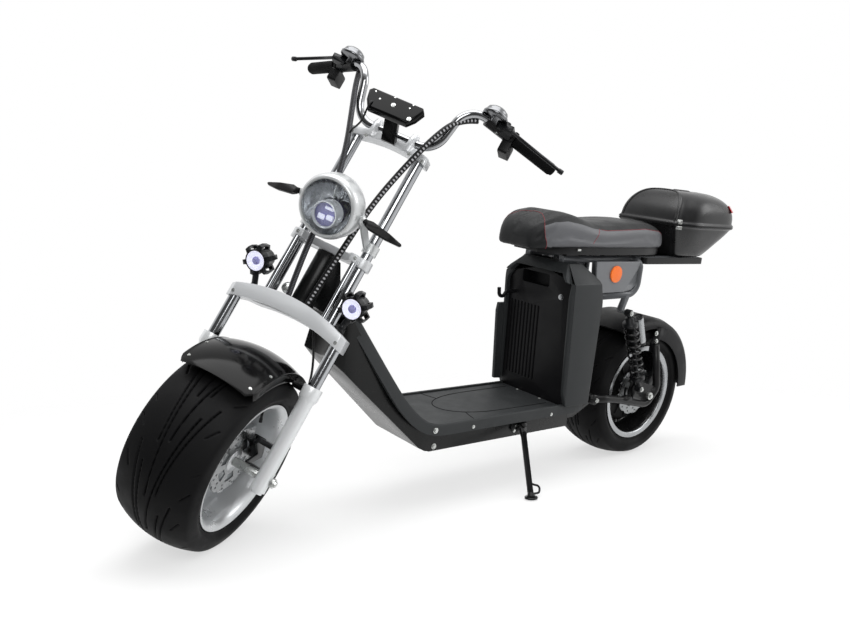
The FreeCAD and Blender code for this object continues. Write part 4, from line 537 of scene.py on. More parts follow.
def spring_tree():
    """A coil spring along Z."""
    tree, keys, given, end = growing_tree("coil_spring",
        {"Turns": "Float", "Radius": "Float", "Height": "Float", "Wire Radius": "Float",
        "Finish": "Material"})
    coil = add(tree, "GeometryNodeCurveSpiral", {"Resolution": 32, "Rotations": given["Turns"],
        "Start Radius": given["Radius"], "End Radius": given["Radius"], "Height": given["Height"]})
    wire = add(tree, "GeometryNodeCurvePrimitiveCircle", {"Resolution": 12, "Radius": given["Wire Radius"]})
    solid = add(tree, "GeometryNodeCurveToMesh", {"Curve": coil, "Profile Curve": wire, "Fill Caps": True})
    close_tree(tree, solid, given["Finish"], end)
    return tree, keys


FASTENERS, STITCHES, SPRING = fastener_tree(), stitch_tree(), spring_tree()


def fastener_mesh(seats, head, height, sides=6):
    """Bolt heads on their washers at (point, direction) seats."""
    mesh = bpy.data.meshes.new("seats")
    mesh.from_pydata([point for point, _ in seats], [], [])
    aims = mesh.attributes.new("aim", "FLOAT_VECTOR", "POINT")
    aims.data.foreach_set("vector", [value for _, aim in seats for value in aim])
    return grown(mesh, FASTENERS, Head_Radius=head, Head_Height=height, Sides=sides,
        Washer_Radius=head * 1.3, Finish=zinc_plate)


# Wheels

# Start and length in pitches, inner and outer place across, bend, width and depth of each groove
GROOVES = [(0, 1.30, 4, 36, 1.5, 3.4, 6.5), (0.50, 0.95, 22, 60, 1.4, 3.2, 6.0),
    (0.16, 0.13, 66, 84, 1.0, 2.6, 4.0), (0.55, 0.10, 74, 92, 1.0, 2.6, 4.0),
    (0.80, 0.06, 80, 93, 1.0, 2.4, 3.0)]
PITCHES = 6


def tread_depth(around, lateral):
    """How deep the tread is cut at a distance round the tyre and across it, on arrays."""
    lap = 2 * math.pi * TYRE_RADIUS
    pitch = lap / PITCHES
    cut = np.zeros_like(around)

    def groove(start, length, y0, y1, bend, width, depth, side):
        nonlocal cut
        share = ((around - start) % lap) / length
        inside = np.clip(np.minimum(share, 1 - share) * length / width + 0.5, 0, 1) * (share <= 1)
        share = np.clip(share, 0, 1)
        centre = side * (y0 + (y1 - y0) * share ** bend)
        slope = (y1 - y0) * bend * np.maximum(share, 0.02) ** (bend - 1) / length
        away = np.abs(lateral - centre) / np.sqrt(1 + slope ** 2)
        wall = np.clip((width / 2 + 1.5 - away) / 3.0, 0, 1)
        cut = np.maximum(cut, depth * inside * wall * wall * (3 - 2 * wall))

    for n in range(PITCHES):
        for side, shift in ((1, 0.0), (-1, 0.45)):
            for begin, share, *form in GROOVES:
                groove((n + shift) * pitch + begin * pitch, pitch * share, *form, side)
    return cut


def tyre(name):
    """A 215/40-12 tyre with swept grooves, shoulder sipes and a rim-protecting rib."""
    sagitta, half = TREAD_DROP, TREAD_HALF_WIDTH
    curve = (half ** 2 + sagitta ** 2) / (2 * sagitta)
    places = np.linspace(-half + 3, half - 3, 104)
    crown = [(y, TYRE_RADIUS - curve + math.sqrt(curve ** 2 - y ** 2)) for y in places]
    wall = [(97.0, 218.2), (99.6, 216.0), (101.6, 213.0), (103.4, 208.5), (105.2, 202.0), (106.6, 196.0),
        (107.2, 191.0), (106.6, 186.5), (104.4, 182.6), (101.6, 179.4), (98.6, 177.2), (97.6, 175.0),
        (97.4, 172.0), (95.0, 169.4), (91.0, 167.4), (90.5, 155.5)]
    profile = np.array([(-y, r) for y, r in reversed(wall)] + crown + wall)
    y, r = profile.T
    tangent = np.gradient(profile, axis=0)
    tangent /= np.linalg.norm(tangent, axis=1)[:, None]
    out_y, out_r = -tangent[:, 1], tangent[:, 0]
    angle = np.linspace(0, 2 * math.pi, 720, endpoint=False)
    grid_angle, grid_y = np.meshgrid(angle, y, indexing="ij")
    cut = tread_depth(grid_angle * TYRE_RADIUS, grid_y)
    cut[:, np.abs(y) > half - 1] = 0
    at_y = y[None, :] - out_y[None, :] * cut
    at_r = r[None, :] - out_r[None, :] * cut
    points = np.stack([at_r * np.cos(grid_angle), at_y, at_r * np.sin(grid_angle)], -1)
    return sheet_of_rings(name, points)


def valve_stem():
    """The tyre's rubber valve with its cap, leaning out of the barrel."""
    stem = turned("valve", [(0, 0), (0, 5.5), (6, 5.5), (8, 3.8), (24, 3.4), (24, 4.4), (34, 4.2), (35, 3),
        (35, 0)], 20)
    return moved(stem, facing((0, 60, 141), (0, 0.35, -1)))


for node, where, body in (("front_tyre", FORK, "front_wheel"), ("rear_tyre", REAR_WHEEL, "rear_wheel")):
    made = show(node + "_moulded", tyre(node), where, body, SLOT_OF[node], tyre_rubber, angle=70)
    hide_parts(node)
    show(node.replace("tyre", "valve"), valve_stem(), where, body, SLOT_OF[node], hose_rubber)


def turned_lip():
    """A bright turned ring inside the lip of a black rim."""
    ring = [(88, 147.5), (94, 148.5), (96.6, 151), (97.4, 156), (97.4, 166.6), (95, 166.8),
        (91, 160), (88, 150)]
    return moved(turned("lip", ring, 160), Matrix.Rotation(math.pi / 2, 4, "Z"))


dress("front_rim", cast_rim, where=FORK)
dress("rear_rim", black_rim, where=REAR_WHEEL)
show("rear_rim_lips", pair("lips", turned_lip()), REAR_WHEEL, "rear_wheel", "rim_black", machined_alloy)


# Luggage box

# Rows from below: height, front, rear, half width at the front corner, greatest half width
BASE_ROWS = [(718.5, -91, -283, 95, 105), (722, -84, -289, 98, 109), (775, -56, -330, 111, 137),
    (814, -32, -360, 121, 157), (824, -28, -363, 122, 159), (826, -20, -370, 126, 167),
    (832, -19, -371, 126, 167)]
LID_ROWS = [(833.5, -19, -371, 126, 167), (840, -19, -371, 126, 167), (843, -26, -366, 121, 161),
    (858, -28, -367, 122, 163), (884, -38, -362, 118, 160), (908, -54, -347, 110, 150),
    (926, -70, -326, 96, 132), (938, -86, -304, 76, 104), (943.0, -102, -288, 50, 74)]
BOX_WALL = 4.0


def box_ring(row):
    """One plan outline of the luggage box: a framed front between slanting cheeks, and a rounded tail."""
    z, front, rear, corner, widest = row
    half = [(front + 1, 0), (front, corner * 0.5), (front - 1, corner - 22), (front - 3, corner - 14),
        (front - 0.5, corner - 10), (front - 2.5, corner - 5), (front - 8, corner - 2),
        (front - 22, corner + 2), (front - 60, widest - 6), (front - 100, widest),
        ((front + rear) / 2, widest), (rear + 90, widest - 1), (rear + 46, widest - 12),
        (rear + 20, widest - 38), (rear + 5, widest - 80), (rear, widest * 0.25), (rear, 0)]
    return [(x, y, z) for x, y in half] + [(x, -y, z) for x, y in reversed(half[1:-1])]


def shell(name, rows, closed_low):
    """A moulded shell with a real wall: rings of a plan, closed at one end."""
    rings = [box_ring(row) for row in rows]
    count = len(rings[0])
    points = [p for ring in rings for p in ring]
    faces = []
    for i in range(len(rings) - 1):
        low, high = i * count, (i + 1) * count
        faces += [(low + j, low + (j + 1) % count, high + (j + 1) % count, high + j) for j in range(count)]
    end = 0 if closed_low else (len(rings) - 1) * count
    for j in range(count // 2):
        quad = [end + j, end + j + 1, end + (count - j - 1) % count, end + (count - j) % count]
        faces.append(tuple(dict.fromkeys(quad)))
    faces = [face for face in faces if len(face) > 2]
    made = carrier(mesh_of(name, points, faces))
    smooth = made.modifiers.new("smooth", "SUBSURF")
    smooth.levels = smooth.render_levels = 2
    thick = made.modifiers.new("wall", "SOLIDIFY")
    thick.thickness = BOX_WALL
    thick.offset = -1
    return settled(made, name)


base = show("box_base_moulded", shell("base", BASE_ROWS, True), CHASSIS, "chassis", "box_black", abs_box)
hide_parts("box_base")
lid = show("box_lid_moulded", shell("lid", LID_ROWS, False), CHASSIS, "box_lid", "box_black", abs_box)
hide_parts("box_lid")
ridge = [(front - 2.5, corner - 13, z) for z, front, _, corner, _ in LID_ROWS[2:]]
ridge += [(x, -y, z) for x, y, z in reversed(ridge)]
show("box_lid_ridge", tube_on(nurbs_line(ridge, 90), 3.4, 12), CHASSIS, "box_lid", "box_black", abs_box)
LATCH = CHASSIS @ facing((-34, 126, 832), (0.75, 0.66, 0))
keeper = [block((6, 20, 12), (-1, 0, -9), 1.5), block((4, 12, 10), (2, 0, -8), 1.5)]
tongue = [block((5, 18, 14), (-1.5, 0, 11), 1.5), block((3, 9, 9), (2, 0, 8), 1.0)]
leaves = [block((5, 30, 12), (-368.5, y, 826), 1.5) for y in (-70, 70)]
show("box_latch_keeper", joined("keeper", keeper), LATCH, "chassis", "zinc", zinc_plate)
show("box_latch_tongue", joined("tongue", tongue), LATCH, "box_lid", "zinc", zinc_plate)
show("box_hinge_leaves", joined("hinges", leaves), CHASSIS, "chassis", "box_black", abs_satin)


# Saddle

SKIN_VOXEL = 6.0
CLOTH_STEPS = 20
PUFF_CAP = 4.0


def padded_copy(node):
    """A CAD solid's form as an even skin, ready to be puffed."""
    made = carrier(frame["nodes"][node].data.copy())
    remesh = made.modifiers.new("even", "REMESH")
    remesh.mode = "VOXEL"
    remesh.voxel_size = SKIN_VOXEL * MM
    even = made.modifiers.new("soft", "SMOOTH")
    even.factor = 0.5
    even.iterations = 6
    return settled(made, node + "_skin")


def puffed(mesh, still):
    """Blows a cushion's skin up a little with cloth, and caps how far any point may go."""
    rest = [v.co.copy() for v in mesh.vertices]
    made = carrier(mesh)
    group = made.vertex_groups.new(name="held")
    for v in mesh.vertices:
        group.add([v.index], still(v.co), "REPLACE")
    cloth = made.modifiers.new("cloth", "CLOTH")
    cloth.settings.use_pressure = True
    cloth.settings.uniform_pressure_force = 4.0
    cloth.settings.effector_weights.gravity = 0.0
    cloth.settings.vertex_group_mass = "held"
    for step in range(1, CLOTH_STEPS + 1):
        bpy.context.scene.frame_set(step)
    blown = settled(made, mesh.name + "_blown")
    bpy.context.scene.frame_set(1)
    for v, start in zip(blown.vertices, rest):
        shift = v.co - start
        if shift.length > PUFF_CAP * MM:
            v.co = start + shift.normalized() * PUFF_CAP * MM
    return blown


# Along the saddle from tail to nose: x, and the height at which its side turns into its top
CROWN_LINE = [(-30, 776), (-12, 790), (30, 805), (120, 812), (230, 807), (320, 803), (385, 808), (440, 819),
    (497, 826), (545, 821), (578, 808), (602, 789), (613, 770)]


def crown_height(x):
    return float(np.interp(x, [row[0] for row in CROWN_LINE], [row[1] for row in CROWN_LINE]))


# Each seam lies where its function of the point passes zero
def nose_seam(p):
    return p.x - 570 - 0.22 * (p.z - 750) + 52 * max(0.0, 1 - (p.y / 90) ** 2)


def side_seam(p):
    return p.z - crown_height(p.x)


def slant_seam(p):
    return p.x - 352 - 0.74 * (817 - p.z)


# The seams, and where along each of them the thread shows
SEAMS = ((nose_seam, lambda p: p.z > 742), (side_seam, lambda p: -12 < p.x < 352),
    (slant_seam, lambda p: abs(p.y) > 60 and crown_height(p.x) > p.z > 762))
to_chassis = CHASSIS.inverted()
skin = puffed(padded_copy("seat_cushion"), lambda p: 1.0 if (to_chassis @ p).z < SEAT_PAN_TOP + 14 else 0.0)
skin.transform(to_chassis)
work = bmesh.new()
work.from_mesh(skin)
bmesh.ops.remove_doubles(work, verts=work.verts, dist=0.01)
seams = [line_mesh(cut_along(work, seam), wanted) for seam, wanted in SEAMS]
work.to_mesh(skin)
work.free()


def cover_part(centre, _):
    """The nose cap, the top and the side panels are cut from two leathers."""
    side = side_seam(centre) < 0 and centre.z > SEAT_PAN_TOP - 2
    return 1 if side and nose_seam(centre) < 0 else 0


seat = show("saddle", skin, CHASSIS, "chassis", "seat_leather", leather_dark, leather_grey, angle=80,
    pick=cover_part)
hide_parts("seat_cushion")
threads = [grown(seam, STITCHES, Pitch=5.0, Stitch_Length=4.2, Thread_Radius=0.9, Finish=thread_red)
    for seam in seams]
show("saddle_stitching", joined("threads", threads), CHASSIS, "chassis", "seat_leather", thread_red)
slot_plate = pair("slots", block((16, 1.6, 6), (439, 111.6, 741), 0.75))
show("seat_pan_slots", slot_plate, CHASSIS, "chassis", "zinc", zinc_plate)


# Springs and dampers

low, high = Vector((92.7, SHOCK_Y, 319.9)), Vector((176.4, SHOCK_Y, 499.8))
on_shock = Matrix.Translation(low) @ (high - low).to_track_quat("Z", "Y").to_matrix().to_4x4()
END_GAP = 3.7
spring = grown(bpy.data.meshes.new("empty"), SPRING, Radius=20.5, Wire_Radius=3.6, Turns=8.0,
    Height=(high - low).length - 2 * END_GAP, Finish=spring_lacquer)
spring = moved(spring, on_shock @ Matrix.Translation((0, 0, END_GAP)))
springs = show("shock_springs_wound", pair("springs", spring), CHASSIS, "chassis", "spring_black",
    spring_lacquer)
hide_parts("shock_springs")
ribs = [(x, 14.4 + 1.1 * (n % 2)) for n, x in enumerate(np.arange(4, 94, 4.0))]
jacket = turned("jacket", [(0, 12)] + ribs + [(96, 12)], 40)
jacket = moved(jacket, facing((141.5, SHOCK_Y, 532), (-42, 0, -100)) @ Matrix.Translation((6, 0, 0)))
show("reservoir_jackets", pair("jackets", jacket), CHASSIS, "chassis", "shock_black", machined_alloy)


# Headlamp

glass = turned("glass", [(6.5, 66.4), (9, 66.4), (11.5, 65.4), (16, 56), (20, 36), (22, 14), (22.4, 0),
    (20.4, 0), (20, 14), (18, 36), (14, 55), (9.6, 63.6), (6.5, 64)], 96)
glass = show("headlamp_glass", glass, HEADLAMP, "fork", "lamp_glass", clear_lens)
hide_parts("headlamp_lens")


def lamp_bowl():
    """The lamp's bowl, pressed with upright flutes."""
    inner = [(3.6, 66.6), (1, 66), (-5, 64.5), (-12, 62), (-19, 58), (-26, 53), (-32, 47), (-37, 40),
        (-41, 32), (-44, 22), (-45.5, 12), (-46, 0)]
    outer = [(-50, 0), (-49, 24), (-42, 44), (-30, 58), (-14, 66), (3.6, 66.9)]
    rings = []
    for a in np.linspace(0, 2 * math.pi, 240, endpoint=False):
        ring = [(x + 1.8 * math.sin(2 * math.pi * r * math.cos(a) / 11.0) * (1 if -45 < x < 1 else 0),
            r * math.cos(a), r * math.sin(a)) for x, r in inner]
        rings.append(ring + [(x, r * math.cos(a), r * math.sin(a)) for x, r in outer])
    return sheet_of_rings("bowl", rings)


show("headlamp_reflector", lamp_bowl(), HEADLAMP, "fork", "lamp_chrome", lamp_mirror, angle=60)
LENS_SEAT = HEADLAMP @ Matrix.Translation((10, -5, -23)) @ Matrix.Diagonal((1, 1.1, 1.1, 1))
barrel = turned("barrel", [(-44, 27), (-44, 31.5), (-12, 31.5), (-8, 30), (-7, 28), (-10, 26.5),
    (-16, 26)], 64)
show("headlamp_projector_ring", barrel, LENS_SEAT, "fork", "lamp_chrome", pearl_bezel)
eye = turned("eye", [(-20, 0), (-20, 25.6), (-15, 25.6), (-9, 20), (-5, 11), (-3.6, 0)], 64)
show("headlamp_projector_lens", eye, LENS_SEAT, "fork", "lamp_glass", clear_lens)
chips = [block((5, 15, 11), (-24, y, z), 2.4) for y, z in ((-9, -8), (9, -5))]
chips.append(block((4, 20, 6), (-24, 3, 12), 2))
show("headlamp_led_row", joined("chips", chips), LENS_SEAT, "fork", "lamp_glass", lamp_white)
backing = turned("backing", [(-34, 0), (-34, 26), (-30, 26), (-28, 0)], 48)
show("headlamp_led_board", backing, LENS_SEAT, "fork", "lamp_chrome", lamp_lilac)
show("headlamp_light_blade", block((26, 1.6, 34), (-14, 3, 42), 0.7), HEADLAMP, "fork", "lamp_chrome",
    zinc_plate)

FOG_SEATS = [Matrix.Translation((12, side * 142, 453)) @ LEVEL for side in (-1, 1)]
FOG_PROFILES = {
    "cones": (lamp_white, 48, [(2.2, 0), (2.2, 24), (8.4, 25.2), (9.2, 24.4), (5, 15), (3.4, 12), (3.2, 0)]),
    "eyes": (lamp_lilac, 32, [(3.4, 0), (3.4, 10.5), (6, 10), (8.6, 6), (9.6, 0)]),
    "covers": (clear_lens, 48, [(8.6, 24), (10.2, 24), (12.4, 18), (13.8, 8), (14, 0), (13, 0), (12.8, 8),
        (11.4, 17.4)])}
for name, (finish, steps, profile) in FOG_PROFILES.items():
    both = joined(name, [moved(turned(name, profile, steps), seat_at) for seat_at in FOG_SEATS])
    show("fog_lamp_" + name, both, FORK, "fork", "fog_glass", finish)
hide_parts("fog_lenses")


# Fork tubes, drawn and polished

def bar(x, y, low, high, radius):
    """A round bar along the steering axis with broken edges."""
    length = high - low
    profile = [(0, 0), (0, radius - 0.5), (0.5, radius), (length - 0.5, radius), (length, radius - 0.5),
        (length, 0)]
    return moved(turned("bar", profile, 64), facing((x, y, low), (0, 0, 1)))


# Place along and across, lower and upper end, and radius: sliding legs, main tubes, thin rods
FORK_BARS = [(5, 149, 200, 366, 15), (-34, 92, 388, 870, 15), (2, 84, 388, 564, 7.5)]
bars = [bar(x, side * y, *rest) for x, y, *rest in FORK_BARS for side in (-1, 1)]
fork_bars = show("fork_tubes_polished", joined("bars", bars), FORK, "fork", "chrome_tube", hard_chrome)
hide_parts("fork_tubes")


# Looms, lead and hose, held along their whole length

# Each one's route, radius, steps along it and sides round it: left loom, right loom, lead, hose
LOOM_ROUTES = [
    ([(-30, 178, 1030), (-4, 142, 1004), (8, 112, 940), (10, 78, 820), (14, 54, 700), (14, 44, 560),
      (8, 34, 470), (-2, 26, 400)], 7.5, 160, 20),
    ([(-30, -178, 1030), (-10, -160, 990), (2, -128, 920), (10, -82, 810), (14, -54, 700), (14, -44, 560),
      (8, -34, 470), (-2, -26, 400)], 7.5, 160, 20),
    ([(72, -50, 930), (88, -51, 927), (84, -52, 902), (62, -58, 878), (38, -76, 866), (14, -94, 862),
      (7, -97, 846)], 2.5, 90, 12),
    ([(-12, 64, 378), (-24, 88, 330), (-34, 114, 272), (-38, 125, 220), (-48, 124, 164), (-54, 118, 112)],
     3.0, 90, 12),
]
tubes = [tube_on(nurbs_line(route, steps), radius, sides) for route, radius, steps, sides in LOOM_ROUTES]
for tube, index in zip(tubes, (0, 1, 2, 2)):
    tube.polygons.foreach_set("material_index", [index] * len(tube.polygons))
bundle = joined("bundle", tubes)
kinds = [face.material_index for face in bundle.polygons]
looms = show("looms_and_hose", bundle, FORK, "fork", "loom_rubber", bold_braid, fine_braid, hose_rubber)
looms.data.polygons.foreach_set("material_index", kinds)
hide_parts("cable_looms")


# Footboard

# Along the tray from the rear: place, height and half width
DECK_LINE = [(332, 238, 126), (360, 238, 140), (890, 238, 140), (962, 238, 139), (1010, 258, 134),
    (1068, 318, 118), (1118, 395, 98), (1216, 545, 70)]
# Across the tray from its edge inwards: distance in from the edge, and rise over the beam's top
TRAY_EDGE = [(12, -15), (0, -15), (0, 12), (0.8, 15.6), (3, 17.8), (8, 17.8), (10.6, 16.6), (11.8, 14),
    (12.4, 10.6), (14.0, 10.6), (14.8, 12.6), (17, 13.2), (26, 13.4)]
MAT_RISE = 13.4
MAT_TOP = BEAM_TOP + MAT_RISE
# How far in from the edge the seam between rim and mat runs; this band gets painted shade
SEAM_FROM, SEAM_TO = 11.2, 14.6
WIDEST = 140


def deck_line():
    """The tray's line in steps of 4 mm, with its corners smoothed."""
    rows = np.array(DECK_LINE, float)
    run = np.concatenate([[0], np.cumsum(np.hypot(np.diff(rows[:, 0]), np.diff(rows[:, 1])))])
    at = np.arange(0, run[-1] + 2, 4.0)
    fine = np.stack([np.interp(at, run, rows[:, k]) for k in range(3)], 1)
    reach = 14
    bell = np.exp(-0.5 * (np.arange(-reach, reach + 1) / 6.0) ** 2)
    bell /= bell.sum()
    longer = np.pad(fine, ((reach, reach), (0, 0)), "reflect", reflect_type="odd")
    soft = np.stack([np.convolve(column, bell, "valid") for column in longer.T], 1)
    soft[:, 2] = np.minimum(soft[:, 2], WIDEST)
    return soft


def footboard():
    """The moulded tray: a skirt, a rounded rim, a seam and the mat, up the neck in one sweep."""
    line = deck_line()
    slope = np.arctan2(np.gradient(line[:, 1]), np.gradient(line[:, 0]))
    inner = np.linspace(1, 0, 9)[1:]
    rings = []
    for (x, z, half), turn in zip(line, slope):
        edge = [(half - inset, rise) for inset, rise in TRAY_EDGE]
        last = edge[-1][0]
        side = edge + [(last * share, MAT_RISE) for share in inner[:-1]]
        whole = side + [(0, MAT_RISE)] + [(-y, rise) for y, rise in reversed(side)]
        whole += [(-(half - 12), 1.0), (half - 12, 1.0)]
        rings.append([(x - rise * math.sin(turn), y, z + rise * math.cos(turn)) for y, rise in whole])
    return sheet_of_rings("tray", rings, endless=False)


def tray_painted_shade(centre, normal):
    """The seam between rim and mat lies in shade, and that shade is painted there as the darker rubber finish."""
    half = float(np.interp(centre.x, [row[0] for row in DECK_LINE], [row[2] for row in DECK_LINE]))
    return 1 if SEAM_FROM < half - abs(centre.y) < SEAM_TO and normal.z > 0.2 else 0


# The seam between rim and mat is painted darker as shade; the rest of the tray is the pebbled mat
tray = show("footboard_moulded", footboard(), CHASSIS, "chassis", "deck_grey", mat_rubber, joint_rubber_and_painted_shade,
    angle=50, pick=tray_painted_shade)
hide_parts("deck_tray")
mat_outline = [(470, -92), (600, -92), (700, -90), (760, -80), (806, -62), (836, -36), (847, -12),
    (847, 12), (836, 36), (806, 62), (760, 80), (700, 90), (600, 92), (470, 92)]
beads = [tube_on(nurbs_line([(x, y, MAT_TOP) for x, y in mat_outline], 160), 1.3, 8)]
beads += [tube_on(nurbs_line([(790, s * 68, MAT_TOP), (800, s * 92, MAT_TOP), (806, s * 124, MAT_TOP)], 24),
    1.2, 8) for s in (-1, 1)]
show("mat_seams", joined("beads", beads), CHASSIS, "chassis", "deck_grey", joint_rubber_and_painted_shade)


# Bolts, screws and nuts

def seated(seats, where, *nodes):
    """Moves each seat onto the outermost skin of the named pieces, along the seat's direction."""
    stand_off, reach = 30, 75
    back = where.inverted()
    skins = []
    for node in nodes:
        piece = frame["nodes"][node]
        turn = back @ piece.matrix_world
        skins.append(BVHTree.FromPolygons([turn @ v.co for v in piece.data.vertices],
            [list(face.vertices) for face in piece.data.polygons]))
    found = []
    for point, aim in seats:
        aim = Vector(aim).normalized()
        hits = [skin.ray_cast(Vector(point) + stand_off * aim, -aim, reach) for skin in skins]
        hits = sorted((hit for hit in hits if hit[0]), key=lambda hit: hit[3])
        if hits and hits[0][1].dot(aim) > 0.5:
            point, aim = hits[0][0], hits[0][1]
        found.append((tuple(point), tuple(aim)))
    return found


def both_sides(seats):
    return seats + [((x, -y, z), (a, -b, c)) for (x, y, z), (a, b, c) in seats]


OUT, UP, AHEAD = (0, 1, 0), (0, 0, 1), (1, 0, 0)
beam_bolts = both_sides([((931, BEAM_SIDE_Y, 179), OUT), ((960, 139.6, 241), OUT)])
beam_bolts = seated(beam_bolts, CHASSIS, "frame_beam", "deck_tray")
lip_bolts = seated(both_sides([((820, 140, 234), OUT), ((494, 140, 231), OUT)]), CHASSIS, "deck_tray")
bracket_bolts = [((614, BEAM_SIDE_Y + 5, 200), OUT), ((618, BEAM_SIDE_Y + 5, 184), OUT)]
bracket_bolts = seated(bracket_bolts, CHASSIS, "stand_bracket")
deck_screws = [((457, y, MAT_TOP), UP) for y in (-50, 50)]
rear_bolts = both_sides([((266, 128, 246), OUT), ((196, 160, 543), OUT), ((74, 160, 274), OUT),
    ((-4, 128, 458), OUT), ((-10, 128, 430), OUT)])
rear_bolts = seated(rear_bolts, CHASSIS, "swing_arm", "shocks", "rear_mudguard", "rear_frame")
chassis_heads = joined("heads", [fastener_mesh(beam_bolts + rear_bolts, 6.5, 4.5),
    fastener_mesh(lip_bolts + deck_screws, 4.2, 2.4, 16), fastener_mesh(bracket_bolts, 4.0, 2.6)])
show("chassis_fasteners", chassis_heads, CHASSIS, "chassis", "zinc", zinc_plate)

guard_bolts = both_sides([((130, 90, 218.5), (0.47, 0.35, 0.81)), ((186, 84, 176), (0.62, 0.3, 0.72))])
guard_bolts = seated(guard_bolts, FORK, "front_mudguard")
caliper_bolts = [((-24, 155, 60), (-1, 0.25, 0)), ((-22, 155, 15), (-1, 0.25, 0)),
    ((-18, 156, -6), (-1, 0.25, 0))]
caliper_bolts = seated(caliper_bolts, FORK, "fork_legs", "front_caliper")
clamp_bolts = both_sides([((29, 150, 359), AHEAD), ((-12, 64, 872), AHEAD), ((-12, 104, 868), AHEAD),
    ((14, 84, 566), AHEAD)])
clamp_bolts = seated(clamp_bolts, FORK, "lower_clamp", "middle_clamp", "top_clamp")
pod_screws = seated([((-48.5, 230.3, 1027.4), (0.32, 0.2, -0.92))], FORK, "sound_pods", "control_pods")
fork_heads = joined("heads", [fastener_mesh(guard_bolts + pod_screws, 3.0, 2.0, 16),
    fastener_mesh(caliper_bolts, 5.5, 14.0), fastener_mesh(clamp_bolts, 3.6, 2.6, 12)])
show("fork_fasteners", fork_heads, FORK, "fork", "zinc", zinc_plate)
KNOB = [(0, 0), (0, 6.5), (11, 6.5), (13, 5), (13, 0)]
adjusters = [moved(turned("knob", KNOB, 24), facing((-12, 154, z), (-1, 0.25, 0))) for z in (86, 38)]
adjusters.append(block((16, 10, 14), (-18, 152, 157), 2.0))
show("caliper_adjusters", joined("adjusters", adjusters), FORK, "fork", "black_alloy", nylon_black)
screw_places = ((-59, 20), (-6, 25), (-38, 4), (46, 25), (43, 12))
case_screws = fastener_mesh([((10, y, z), AHEAD) for y, z in screw_places], 1.7, 1.0, 12)
case_bolts = fastener_mesh([((10, 1.5, 2.5), AHEAD), ((10, 57, -17), AHEAD)], 4.4, 3.0, 16)
show("display_screws", joined("screws", [case_screws, case_bolts]), DISPLAY, "fork", "zinc", zinc_plate)
show("display_screen", block((0.8, 118, 38), (-10.3, 0, 2), 0.35), DISPLAY, "fork", "black_plastic",
    screen_glass)

horn = turned("horn", [(0, 0), (0, 13), (3, 15), (5, 13), (7, 15), (9, 13), (11, 15), (14, 12),
    (16, 0)], 36)
show("horn_cap", moved(horn, facing((-34, -50, 428), (1, -0.1, 0.3))), FORK, "fork", "zinc", zinc_plate)


# Everything else keeps its CAD form

# Where a piece's second finish lies: the pods' domes, the battery's lock and the tail lamp's lens
DOME_ABOVE = 1044
LOCK_Y, LOCK_Z, LOCK_RADIUS, LOCK_AHEAD_OF = 92, 592, 9, 463
LENS_BEHIND = -314


def pod_dome(centre, _):
    return 1 if centre.z > DOME_ABOVE else 0


def lock_ring(centre, _):
    near = math.hypot(centre.y - LOCK_Y, centre.z - LOCK_Z) < LOCK_RADIUS
    return 1 if near and centre.x > LOCK_AHEAD_OF else 0


def tail_lamp(centre, _):
    return 1 if centre.x < LENS_BEHIND else 0


dress("sound_pods", nylon_black, satin_chrome, where=FORK, pick=pod_dome)
dress("battery_pack", abs_black, machined_alloy, edge=1.0, pick=lock_ring)
dress("tail_bracket", abs_black, red_acrylic, edge=0.6, pick=tail_lamp)
dress("headlamp_shell", pearl_bezel, where=HEADLAMP)
for node, finish, edge in (("lower_clamp", silver_lacquer, 1.6), ("middle_clamp", silver_lacquer, 1.2),
        ("top_clamp", silver_lacquer, 1.4), ("fork_legs", leg_lacquer, 0.8),
        ("front_axle", zinc_plate, 0.5), ("front_mudguard", black_lacquer, 0.8),
        ("front_caliper", black_anodised, 0.8), ("fog_lamps", black_anodised, 0),
        ("turn_signals", nylon_black, 0), ("handlebar", chrome_plate, 0), ("grips", grip_rubber, 0),
        ("brake_levers", black_anodised, 0), ("control_pods", nylon_black, 0.8),
        ("display", black_lacquer, 0.8), ("front_disc", disc_steel, 0), ("frame_beam", beam_lacquer, 2.0),
        ("battery_housing", abs_grey, 2.0), ("rear_frame", grey_powder, 0),
        ("side_panels", grey_lacquer, 0), ("side_reflectors", amber_acrylic, 0.8),
        ("seat_base", abs_satin, 1.5), ("carrier_plate", powder_coat, 0.8),
        ("lid_reflectors", red_acrylic, 0), ("swing_arm", powder_coat, 0), ("shocks", black_anodised, 0),
        ("rear_mudguard", abs_black, 0), ("rear_axle", zinc_plate, 0.5),
        ("rear_caliper", black_anodised, 0.8), ("hub_motor", motor_cover, 0), ("rear_disc", disc_steel, 0),
        ("side_stand", powder_coat, 0), ("stand_bracket", powder_coat, 0.6)):
    dress(node, finish, edge=edge)


# Camera, light and floor

FOCAL_PIXELS = 821.05
PICTURE_WIDTH = 850.0
SENSOR_WIDTH = 36.0
camera = bpy.data.objects.new("camera", bpy.data.cameras.new("camera"))
bpy.context.scene.collection.objects.link(camera)
# The camera's place and its own axes, given in the chassis frame
turn = CHASSIS.to_3x3() * 1000
looking = turn @ Vector((-0.625815, -0.753764, -0.200491))
right = turn @ Vector((-0.778674, 0.618601, 0.104875))
over = turn @ Vector((-0.044973, -0.221749, 0.974066))
stance = Matrix((right, over, -looking)).transposed().to_4x4()
camera.matrix_world = Matrix.Translation(CHASSIS @ Vector((2380.53, 1752.71, 989.1))) @ stance
camera.data.sensor_width = SENSOR_WIDTH
camera.data.lens = FOCAL_PIXELS * SENSOR_WIDTH / PICTURE_WIDTH
camera.data.clip_end = 50.0
bpy.context.scene.camera = camera


def softbox(name, at, towards, size, watts):
    """A large soft area lamp."""
    lamp = bpy.data.lights.new(name, "AREA")
    lamp.shape = "RECTANGLE"
    lamp.size, lamp.size_y = size
    lamp.energy = watts
    made = bpy.data.objects.new(name, lamp)
    bpy.context.scene.collection.objects.link(made)
    made.location = at
    made.rotation_euler = (Vector(towards) - Vector(at)).to_track_quat("-Z", "Y").to_euler()


